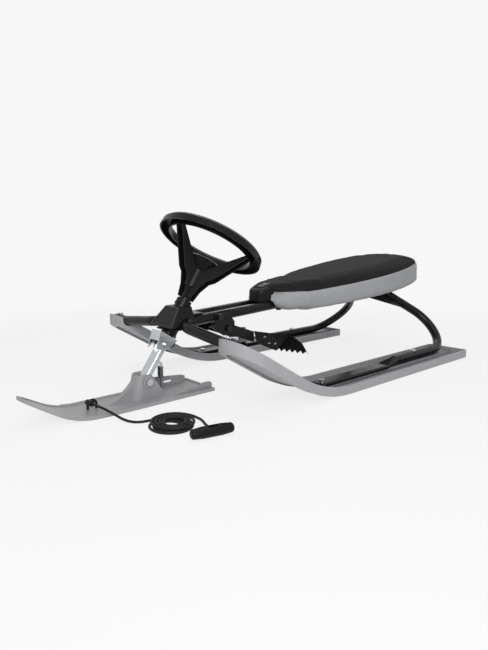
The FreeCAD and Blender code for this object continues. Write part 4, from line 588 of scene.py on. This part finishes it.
cover_verts = [p + Vector((0, 0, cover_rise(p.x))) for points in cover_rows for p in points]
cover_verts += [p - Vector((0, 0, COVER_DEPTH)) for points in cover_rows for p in points]
below, wide = len(cover_verts) // 2, NOSE_COLUMNS + 1
cover_faces = []
for i in range(NOSE_ROWS):
    for j in range(NOSE_COLUMNS):
        quad = [i * wide + j, i * wide + j + 1, (i + 1) * wide + j + 1, (i + 1) * wide + j]
        cover_faces += [quad, [below + k for k in reversed(quad)]]
rim = list(range(wide)) + [i * wide + NOSE_COLUMNS for i in range(1, NOSE_ROWS + 1)]
rim += [NOSE_ROWS * wide + j for j in range(NOSE_COLUMNS - 1, -1, -1)]
rim += [i * wide for i in range(NOSE_ROWS - 1, 0, -1)]
cover_faces += [(a, b, below + b, below + a) for a, b in zip(rim, rim[1:] + rim[:1])]
nose_cover = mesh_of("nose_cover", cover_verts, cover_faces)
print("nose cover:", len(nose_cover.polygons), "faces")

# %% [markdown]
# The pad and its nose are one sewn cover. The CAD cushion alone would look like a block, so it is joined with the nose,
# remeshed into even small faces, drawn in a little and blown up as cloth with pressure. Points on the underside, on the
# nose and against the pan are held, because the foam rests on something there.

# %% Even mesh of the pad
VOXEL, CUSHION_MERGE = 0.005, 1e-5
shape = bmesh.new()
shape.from_mesh(nodes["seat_cushion"].data)
bmesh.ops.remove_doubles(shape, verts=shape.verts, dist=CUSHION_MERGE)
shape.from_mesh(nose_cover)
pad_mesh = bpy.data.meshes.new("pad_start")
shape.to_mesh(pad_mesh)
shape.free()
pad = bpy.data.objects.new("pad_start", pad_mesh)
bpy.context.scene.collection.objects.link(pad)
remesh = pad.modifiers.new("even", "REMESH")
remesh.mode = "VOXEL"
remesh.voxel_size = VOXEL
pad_mesh = evaluated(pad, "seat_pad")
print("even mesh:", len(pad_mesh.vertices), "points")

# %% Held points of the pad
INNER_Y, FACING_IN, FACING_DOWN = 0.075, 0.4, -0.3
NOSE_BACK_X, NOSE_MARGIN, SOFTEN_ROUNDS = -0.1, 0.006, 2


def is_free(point, normal):
    """True on the outside of the pad, false on its underside, on the nose and where it faces the pan."""
    faces_in = normal.y * point.y < 0 and abs(normal.y) > FACING_IN and abs(point.y) < INNER_Y
    on_nose = point.x > NOSE_BACK_X and abs(point.y) < hood_half(point.x) + NOSE_MARGIN
    return normal.z > FACING_DOWN and not faces_in and not on_nose


hold = [0.0 if is_free(v.co, v.normal) else 1.0 for v in pad_mesh.vertices]
links = [[] for _ in pad_mesh.vertices]
for edge in pad_mesh.edges:
    a, b = edge.vertices
    links[a].append(b)
    links[b].append(a)
for _ in range(SOFTEN_ROUNDS):
    hold = [(value + sum(hold[j] for j in links[i])) / (1 + len(links[i])) for i, value in enumerate(hold)]
print("held points:", sum(value > 0.5 for value in hold), "of", len(hold))

# %% Blow up the pad
DRAW_IN, SWELL_CAP = 0.0015, 0.003
CLOTH_FRAMES, CLOTH_PRESSURE, CLOTH_QUALITY = 20, 4.0, 3
rest = [v.co.copy() for v in pad_mesh.vertices]
normals = [v.normal.copy() for v in pad_mesh.vertices]
for vertex, normal, value in zip(pad_mesh.vertices, normals, hold):
    vertex.co -= normal * DRAW_IN * (1 - value)
pad = bpy.data.objects.new("pad_cloth", pad_mesh)
bpy.context.scene.collection.objects.link(pad)
pins = pad.vertex_groups.new(name="held")
for i, value in enumerate(hold):
    pins.add([i], value, "REPLACE")
cloth = pad.modifiers.new("cloth", "CLOTH")
cloth.settings.quality = CLOTH_QUALITY
cloth.settings.vertex_group_mass = "held"
cloth.settings.use_pressure = True
cloth.settings.uniform_pressure_force = CLOTH_PRESSURE
cloth.settings.effector_weights.gravity = 0.0
cloth.collision_settings.use_collision = False
for number in range(1, CLOTH_FRAMES + 1):
    bpy.context.scene.frame_set(number)
pad_mesh = evaluated(pad, "seat_pad")
bpy.context.scene.frame_set(1)
moved = 0.0
for vertex, start, value in zip(pad_mesh.vertices, rest, hold):
    shift = vertex.co - start
    if shift.length > SWELL_CAP:
        shift = shift.normalized() * SWELL_CAP
    vertex.co = start + shift * (1 - value)
    moved = max(moved, shift.length)
print("pad blown up, largest move", round(moved / MM, 1), "mm")

# %% [markdown]
# Between the pad and the nose the real cover is drawn tight, so no step shows where the two forms meet. More pressure
# would only round that step. Instead the points there settle among their neighbours, as a stretched skin does, but not
# into the hood, nor below a line over the hood's back edge. The front wings then end in soft round lobes.

# %% Draw the cover over the hood
DRAPE_BACK_X, DRAPE_BLEND, DRAPE_LOW_Z, DRAPE_EDGE, DRAPE_ROUNDS = -0.20, 0.05, 0.190, 0.005, 60
DRAPE_PULL, DRAPE_FACING = 0.5, -0.2
# Places along the line over the hood's back edge, and their heights.
RIDGE = ((-0.140, 0.2140), (-0.080, 0.2099), (-0.040, 0.2078))
RIDGE_INSET, RIDGE_ROUND, RIDGE_FALL = 0.0035, 0.015, 0.0066


def ridge_z(point):
    """Lowest height of the tight cover on its way from the pad over the hood's back edge."""
    spare = hood_half(point.x) - RIDGE_INSET - abs(point.y)
    for (x0, z0), (x1, z1) in zip(RIDGE, RIDGE[1:]):
        if x0 <= point.x <= x1 and spare > 0:
            return z0 + (z1 - z0) * (point.x - x0) / (x1 - x0) - RIDGE_FALL * ease(1 - spare / RIDGE_ROUND)
    return 0.0


places = [v.co.copy() for v in pad_mesh.vertices]
pull = {}
for i, vertex in enumerate(pad_mesh.vertices):
    share = ease((vertex.co.x - DRAPE_BACK_X) / DRAPE_BLEND) * ease((vertex.co.z - DRAPE_LOW_Z) / DRAPE_EDGE)
    if share > 0 and vertex.normal.z > DRAPE_FACING:
        pull[i] = share
for _ in range(DRAPE_ROUNDS):
    drawn = {i: sum((places[j] for j in links[i]), Vector()) / len(links[i]) for i in pull}
    for i, share in pull.items():
        places[i] = places[i].lerp(drawn[i], DRAPE_PULL * share)
        hood = hood_rays.ray_cast(Vector((places[i].x, places[i].y, RAY_START_Z)), DOWN)[0]
        if hood is not None and hood.z > DRAPE_LOW_Z:
            places[i].z = max(places[i].z, hood.z + COVER_RISE)
        places[i].z = max(places[i].z, ridge_z(places[i]))
print("cover drawn tight at", len(pull), "points")

# %% Round the wings
LOBE_BACK_X, LOBE_MIDDLE_Z, LOBE_HALF_HEIGHT, LOBE_INNER_Y, LOBE_TOP_Z = -0.050, 0.166, 0.0235, 0.024, 0.187
LOBE_SIDE_EDGE, LOBE_TOP_EDGE, LOBE_LEAST = 0.006, 0.004, 0.05
lobe_places = [place for place in places if place.x > LOBE_BACK_X]
for place in lobe_places:
    rise = (place.z - LOBE_MIDDLE_Z) / LOBE_HALF_HEIGHT
    rounded = 1 - math.sqrt(max(1 - rise * rise, LOBE_LEAST))
    beside = ease((abs(place.y) - LOBE_INNER_Y) / LOBE_SIDE_EDGE) * (1 - ease((place.z - LOBE_TOP_Z) / LOBE_TOP_EDGE))
    place.x -= (place.x - LOBE_BACK_X) * rounded * beside
for vertex, place in zip(pad_mesh.vertices, places):
    vertex.co = place
print("wings rounded at", len(lobe_places), "points")

# %% [markdown]
# Last the pad is smoothed and divided once, and the seam is pressed in as a shallow groove. A groove made earlier would
# be lost, because the remesh takes away whatever is narrower than its voxels. The height above the seam is kept on each
# point for the material and for the stitches.

# %% Smooth the pad and press in the seam
SMOOTH_FACTOR, SMOOTH_ROUNDS = 0.5, 6
SLOPE = math.tan(math.radians(6.5))
SEAT_FRONT_X, SEAT_FRONT_Z, BAND_HEIGHT = -0.082, 0.143, 0.043
WING_TOP_Z, WING_BACK_X, WING_BLEND = 0.1895, -0.115, 0.05
GROOVE_DEPTH, GROOVE_REACH = 0.0012, 0.003


def seam_z(x):
    """Height of the seam: it follows the seat's slope, and rises over the front wings."""
    slope_line = SEAT_FRONT_Z + BAND_HEIGHT + (SEAT_FRONT_X - x) * SLOPE
    return slope_line + ease((x - WING_BACK_X) / WING_BLEND) * (WING_TOP_Z - slope_line)


pad = bpy.data.objects.new("pad_smooth", pad_mesh)
bpy.context.scene.collection.objects.link(pad)
smooth = pad.modifiers.new("smooth", "SMOOTH")
smooth.factor = SMOOTH_FACTOR
smooth.iterations = SMOOTH_ROUNDS
finer = pad.modifiers.new("finer", "SUBSURF")
finer.levels = finer.render_levels = 1
pad_mesh = evaluated(pad, "seat_pad")
heights = [v.co.z - seam_z(v.co.x) for v in pad_mesh.vertices]
normals = [v.normal.copy() for v in pad_mesh.vertices]
for vertex, normal, height in zip(pad_mesh.vertices, normals, heights):
    if vertex.co.x < WING_BACK_X:
        vertex.co -= normal * GROOVE_DEPTH * math.exp(-(height / GROOVE_REACH) ** 2)
pad_mesh.attributes.new("above_seam", "FLOAT", "POINT").data.foreach_set("value", heights)
seat_pad = piece("seat_pad", pad_mesh, cover_cloth, "frame")
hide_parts("seat_cushion")
print("seat pad:", len(pad_mesh.polygons), "faces")

# %% [markdown]
# A row of stitches runs just above the seam and holds the top to the band. Its line could be drawn by hand, but it
# would miss the swollen pad. So it is read from the pad: it passes where an edge's two ends lie on either side of the
# stitches' height, and those places are put in order by their direction from the middle of the seat.

# %% Seam line
STITCH_RISE, SEAM_FRONT_X, RING_MIDDLE_X, RING_STEP = 0.0035, -0.11, -0.30, math.radians(2)
above = [a.value for a in pad_mesh.attributes["above_seam"].data]
crossings = []
for edge in pad_mesh.edges:
    a, b = edge.vertices
    low, high = above[a] - STITCH_RISE, above[b] - STITCH_RISE
    if low * high < 0:
        point = pad_mesh.vertices[a].co.lerp(pad_mesh.vertices[b].co, low / (low - high))
        if point.x < SEAM_FRONT_X:
            crossings.append(point)
bins = {}
for point in crossings:
    key = round(math.atan2(point.y, point.x - RING_MIDDLE_X) / RING_STEP)
    bins.setdefault(key, []).append(point)
ring = [sum(bins[key], Vector()) / len(bins[key]) for key in sorted(bins)]
start = max(range(len(ring)), key=lambda i: (ring[i] - ring[i - 1]).length)
ring = ring[start:] + ring[:start]
print("seam line:", len(ring), "points,", round(sum((b - a).length for a, b in zip(ring, ring[1:])), 3), "m")

# %% [markdown]
# Stitches and grip ribs are both small rounded bars at even steps along a line. An Array and a Curve modifier would
# bend the bars with the row. A Geometry Nodes tree sets a straight bar on each step of any line and turns it with the
# line. Its inputs are the step, the bar's size and the finish. The thread is fibrous like the rope, so it shares that.

# %% Rows along a line, by Geometry Nodes
BAR_SEGMENTS, BAR_RINGS = 10, 6


def row_tree(name):
    """A node tree that sets a small rounded bar on each step of a curve."""
    tree = bpy.data.node_groups.new(name, "GeometryNodeTree")
    for label, kind in (("Line", "NodeSocketGeometry"), ("Step", "NodeSocketFloat"), ("Bar Size", "NodeSocketVector"),
                        ("Finish", "NodeSocketMaterial")):
        tree.interface.new_socket(name=label, in_out="INPUT", socket_type=kind)
    tree.interface.new_socket(name="Bars", in_out="OUTPUT", socket_type="NodeSocketGeometry")
    given = wire(tree, "NodeGroupInput")
    steps = wire(tree, "GeometryNodeResampleCurve", {"Curve": given.outputs["Line"], "Length": given.outputs["Step"]},
                 mode="LENGTH")
    ball = wire(tree, "GeometryNodeMeshUVSphere", {"Segments": BAR_SEGMENTS, "Rings": BAR_RINGS, "Radius": 0.5})
    bar = wire(tree, "GeometryNodeTransform", {"Geometry": ball.outputs[0], "Scale": given.outputs["Bar Size"]})
    way = wire(tree, "GeometryNodeInputTangent")
    turn = wire(tree, "FunctionNodeAlignRotationToVector", {"Vector": way.outputs[0]}, axis="X")
    bars = wire(tree, "GeometryNodeInstanceOnPoints", {"Points": steps.outputs[0], "Instance": bar.outputs[0],
                                                       "Rotation": turn.outputs[0]})
    real = wire(tree, "GeometryNodeRealizeInstances", {"Geometry": bars.outputs[0]})
    coat = wire(tree, "GeometryNodeSetMaterial", {"Geometry": real.outputs[0], "Material": given.outputs["Finish"]})
    wire(tree, "NodeGroupOutput", {"Bars": coat.outputs[0]})
    return tree


bar_row = row_tree("bars_along_a_line")
print("row tree:", len(bar_row.nodes), "nodes")

# %% Seat stitches
STITCH_STEP, STITCH_SIZE = 0.0075, (0.0052, 0.0013, 0.0011)


def row(name, lines, step, bar_size, finish, body):
    """Bars along one or more polylines, as a plain mesh that rides on a body."""
    curve = bpy.data.curves.new(name, "CURVE")
    curve.dimensions = "3D"
    for points in lines:
        poly = curve.splines.new("POLY")
        poly.points.add(len(points) - 1)
        for target, point in zip(poly.points, points):
            target.co = (*point, 1.0)
    holder = bpy.data.objects.new(name + "_line", curve)
    bpy.context.scene.collection.objects.link(holder)
    modifier = holder.modifiers.new("rows", "NODES")
    modifier.node_group = bar_row
    sockets = {item.name: item.identifier for item in bar_row.interface.items_tree if item.in_out == "INPUT"}
    modifier[sockets["Step"]] = step
    modifier[sockets["Bar Size"]] = bar_size
    modifier[sockets["Finish"]] = finish
    mesh = evaluated(holder, name)
    return piece(name, mesh, finish, body)


stitches = row("seat_stitches", [ring], STITCH_STEP, STITCH_SIZE, braided_cord, "frame")
print("stitches:", len(stitches.data.polygons), "faces")

# %% [markdown]
# Short grip ribs cross the runners' decks where the tip begins to rise, and stop a boot from slipping. They could be
# cut into the CAD runner, but they are small and many. They follow the deck's arc, so the same tree sets them along
# that arc, with bars that lie across it.

# %% Grip ribs on the runners
# Where the deck begins to rise, the radius that it rises in, and its height before that.
RISE_X, RISE_RADIUS, DECK_Z = -0.026, 0.311, 0.007
RIB_BACK_X, RIB_STEP, RIB_COUNT, RIB_ASIDE, RIB_LIFT = -0.022, 0.0058, 15, 0.037, 0.0002
RIB_SIZE = (0.0034, 0.015, 0.004)
rib_lines = []
for side in (-1, 1):
    for offset in (-RIB_ASIDE, RIB_ASIDE):
        points = []
        for k in range(RIB_COUNT):
            x = RIB_BACK_X + RIB_STEP * k
            away = max(x - RISE_X, 0)
            z = RISE_RADIUS - math.sqrt(RISE_RADIUS ** 2 - away ** 2) + DECK_Z
            points.append(Vector((x, side * RUNNER_Y + offset, z + RIB_LIFT)))
        rib_lines.append(points)
ribs = row("runner_grip_ribs", rib_lines, RIB_STEP, RIB_SIZE, grey_polyethylene, "frame")
print("grip ribs:", len(ribs.data.polygons), "faces")

# %% [markdown]
# Near the nose the cover has three short raised ribs. They run along the nose without a break, so bars set in a row
# would not do. Rays from above lay a path for each rib on the pad's surface, and a thin round bar is swept along it.

# %% Vent ribs
VENT_BACK_X, VENT_LENGTH, VENT_RADIUS, VENT_ASIDE = -0.034, 0.026, 0.0008, 0.007
VENT_STEPS, VENT_CORNERS = 8, 8


def round_outline(run):
    """The same round outline all along the bar."""
    angles = [2 * math.pi * k / VENT_CORNERS for k in range(VENT_CORNERS)]
    return [(VENT_RADIUS * math.cos(angle), VENT_RADIUS * math.sin(angle)) for angle in angles]


pad_rays = rays_of(seat_pad.data)
verts, faces = [], []
for y in (-VENT_ASIDE, 0.0, VENT_ASIDE):
    starts = [Vector((VENT_BACK_X + VENT_LENGTH * k / VENT_STEPS, y, RAY_START_Z)) for k in range(VENT_STEPS + 1)]
    bar = tube_mesh("vent_rib", [pad_rays.ray_cast(start, DOWN)[0] for start in starts], round_outline)
    faces += [[k + len(verts) for k in p.vertices] for p in bar.polygons]
    verts += [v.co.copy() for v in bar.vertices]
vent_ribs = piece("nose_vent_ribs", mesh_of("nose_vent_ribs", verts, faces), grey_polyethylene, "frame")
print("vent ribs:", len(vent_ribs.data.polygons), "faces")

# %% [markdown]
# The head cover's front has a raised border round a plain panel. A bevelled curve would be round, and the real border
# is flat with sloped sides. So it is a closed strip on the cover's own leaning face, with four points at each corner:
# its outer foot, its top's two edges and its inner foot.

# %% Cover border
corners = [Vector((0.238, -0.025, 0.179)), Vector((0.238, 0.025, 0.179)), Vector((0.269, 0.041, 0.141)),
           Vector((0.269, -0.041, 0.141))]
# Shares of the way from a corner to the panel's middle, and heights above the panel.
STRIP = ((0.08, -0.0004), (0.10, 0.0014), (0.15, 0.0014), (0.18, -0.0004))
centre = sum(corners, Vector()) / len(corners)
outward = (corners[1] - corners[0]).cross(corners[2] - corners[1]).normalized()
if outward.x < 0:
    outward = -outward
verts = [corner + (centre - corner) * share + outward * lift for corner in corners for share, lift in STRIP]
faces = []
for k in range(len(corners)):
    here, there = len(STRIP) * k, len(STRIP) * ((k + 1) % len(corners))
    for m in range(len(STRIP)):
        after = (m + 1) % len(STRIP)
        faces.append((here + m, here + after, there + after, there + m))
border = piece("cover_border", mesh_of("cover_border", verts, faces), gloss_and_painted_highlight_polypropylene, "frame",
               smooth=False)
print("cover border:", len(border.data.polygons), "faces")

# %% [markdown]
# The ski's spring stands on the ski and reaches up to the strut, so it has to give way when the ski tips. As a rigid
# piece it would cut into the strut. A merged copy of the CAD spring takes its place here: it rides on no body, and
# its place is baked into its mesh.

# %% Ski spring
cad_spring = nodes["ski_spring"].data
spring = piece("ski_spring_coil", mesh_of("ski_spring_coil", [v.co for v in cad_spring.vertices],
                                          [tuple(p.vertices) for p in cad_spring.polygons]),
               spring_wire, None)
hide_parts("ski_spring")
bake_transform(spring)
print("ski spring:", len(spring.data.polygons), "faces")

# %% [markdown]
# The photograph has a plain pale studio round the sled. More light would make the background white, but would bleach
# the sled too. So the world and the floor show the backdrop's own colour to the camera and in mirrors, and light the
# sled at a plain level. Near the sled part of the floor's real shading is mixed in, so that a soft shadow stays.

# %% World
BACKDROP, AMBIENT = rgb("#f7f7f7"), 0.42


def seen_share(tree):
    """One where the camera sees a surface, itself or in something that shines, and zero where it only gives light."""
    ray = wire(tree, "ShaderNodeLightPath")
    seen = wire(tree, "ShaderNodeMath", {0: ray.outputs["Is Camera Ray"], 1: ray.outputs["Is Glossy Ray"]},
                operation="MAXIMUM")
    seen = wire(tree, "ShaderNodeMath", {0: seen.outputs[0], 1: ray.outputs["Is Transmission Ray"]},
                operation="MAXIMUM")
    return seen.outputs[0]


scene = bpy.context.scene
scene.view_settings.view_transform = "Standard"
world = bpy.data.worlds.new("studio")
world.use_nodes = True
sky = world.node_tree
sky.nodes.clear()
ambient = wire(sky, "ShaderNodeBackground", {"Color": (1, 1, 1, 1), "Strength": AMBIENT})
backdrop = wire(sky, "ShaderNodeBackground", {"Color": BACKDROP, "Strength": 1.0})
mixed = wire(sky, "ShaderNodeMixShader", {0: seen_share(sky), 1: ambient.outputs[0], 2: backdrop.outputs[0]})
wire(sky, "ShaderNodeOutputWorld", {"Surface": mixed.outputs[0]})
scene.world = world
print("world:", world.name)

# %% Floor
SHADOW_SHARE, SHADOW_NEAR, SHADOW_FAR = 0.15, 0.75, 1.5
FLOOR_HALF, FLOOR_DROP = 60.0, 0.0003
# Studio paper is matt and almost white.
floor_paper, tree, place = blank("pale_floor_paper")
reach = wire(tree, "ShaderNodeVectorMath", {0: place}, operation="LENGTH")
near = wire(tree, "ShaderNodeMapRange", {"Value": reach.outputs["Value"], "From Min": SHADOW_NEAR,
                                         "From Max": SHADOW_FAR, "To Min": SHADOW_SHARE, "To Max": 0.0},
            interpolation_type="SMOOTHSTEP")
share = wire(tree, "ShaderNodeMath", {0: 1.0, 1: near.outputs[0]}, operation="SUBTRACT")
share = wire(tree, "ShaderNodeMath", {0: share.outputs[0], 1: seen_share(tree)}, operation="MULTIPLY")
matt = wire(tree, "ShaderNodeBsdfDiffuse", {"Color": rgb("#f2f2f2")})
glow = wire(tree, "ShaderNodeEmission", {"Color": BACKDROP, "Strength": 1.0})
mixed = wire(tree, "ShaderNodeMixShader", {0: share.outputs[0], 1: matt.outputs[0], 2: glow.outputs[0]})
wire(tree, "ShaderNodeOutputMaterial", {"Surface": mixed.outputs[0]})
floor_corners = [(FLOOR_HALF * x, FLOOR_HALF * y, 0) for x, y in ((-1, -1), (1, -1), (1, 1), (-1, 1))]
floor_mesh = mesh_of("floor", floor_corners, [(0, 1, 2, 3)])
floor_mesh.materials.append(floor_paper)
floor = bpy.data.objects.new("floor", floor_mesh)
floor.location.z = -FLOOR_DROP
scene.collection.objects.link(floor)
print("floor:", round(2 * FLOOR_HALF), "m wide")

# %% [markdown]
# A studio lights such a sled with soft boxes, large lamps behind white cloth. Point lamps would throw hard shadows, so
# these are square area lamps: the main one in front on the camera's side, a weak one above, and one behind that draws
# a bright edge on the tubes.

# %% Soft boxes
AIM = Vector((0.05, 0, 0.12))
# Name, place, width in metres and watts.
SOFT_BOXES = (("front_box", (1.2, 1.4, 1.0), 1.0, 26), ("top_box", (0.1, 0.5, 2.2), 1.2, 8),
              ("back_box", (-1.5, -1.2, 1.4), 1.0, 9))
for name, place, size, watts in SOFT_BOXES:
    lamp = bpy.data.lights.new(name, "AREA")
    lamp.energy = watts
    lamp.size = size
    box = bpy.data.objects.new(name, lamp)
    scene.collection.objects.link(box)
    box.location = place
    box.rotation_euler = (AIM - Vector(place)).to_track_quat("-Z", "Y").to_euler()
print("soft boxes:", len(SOFT_BOXES))
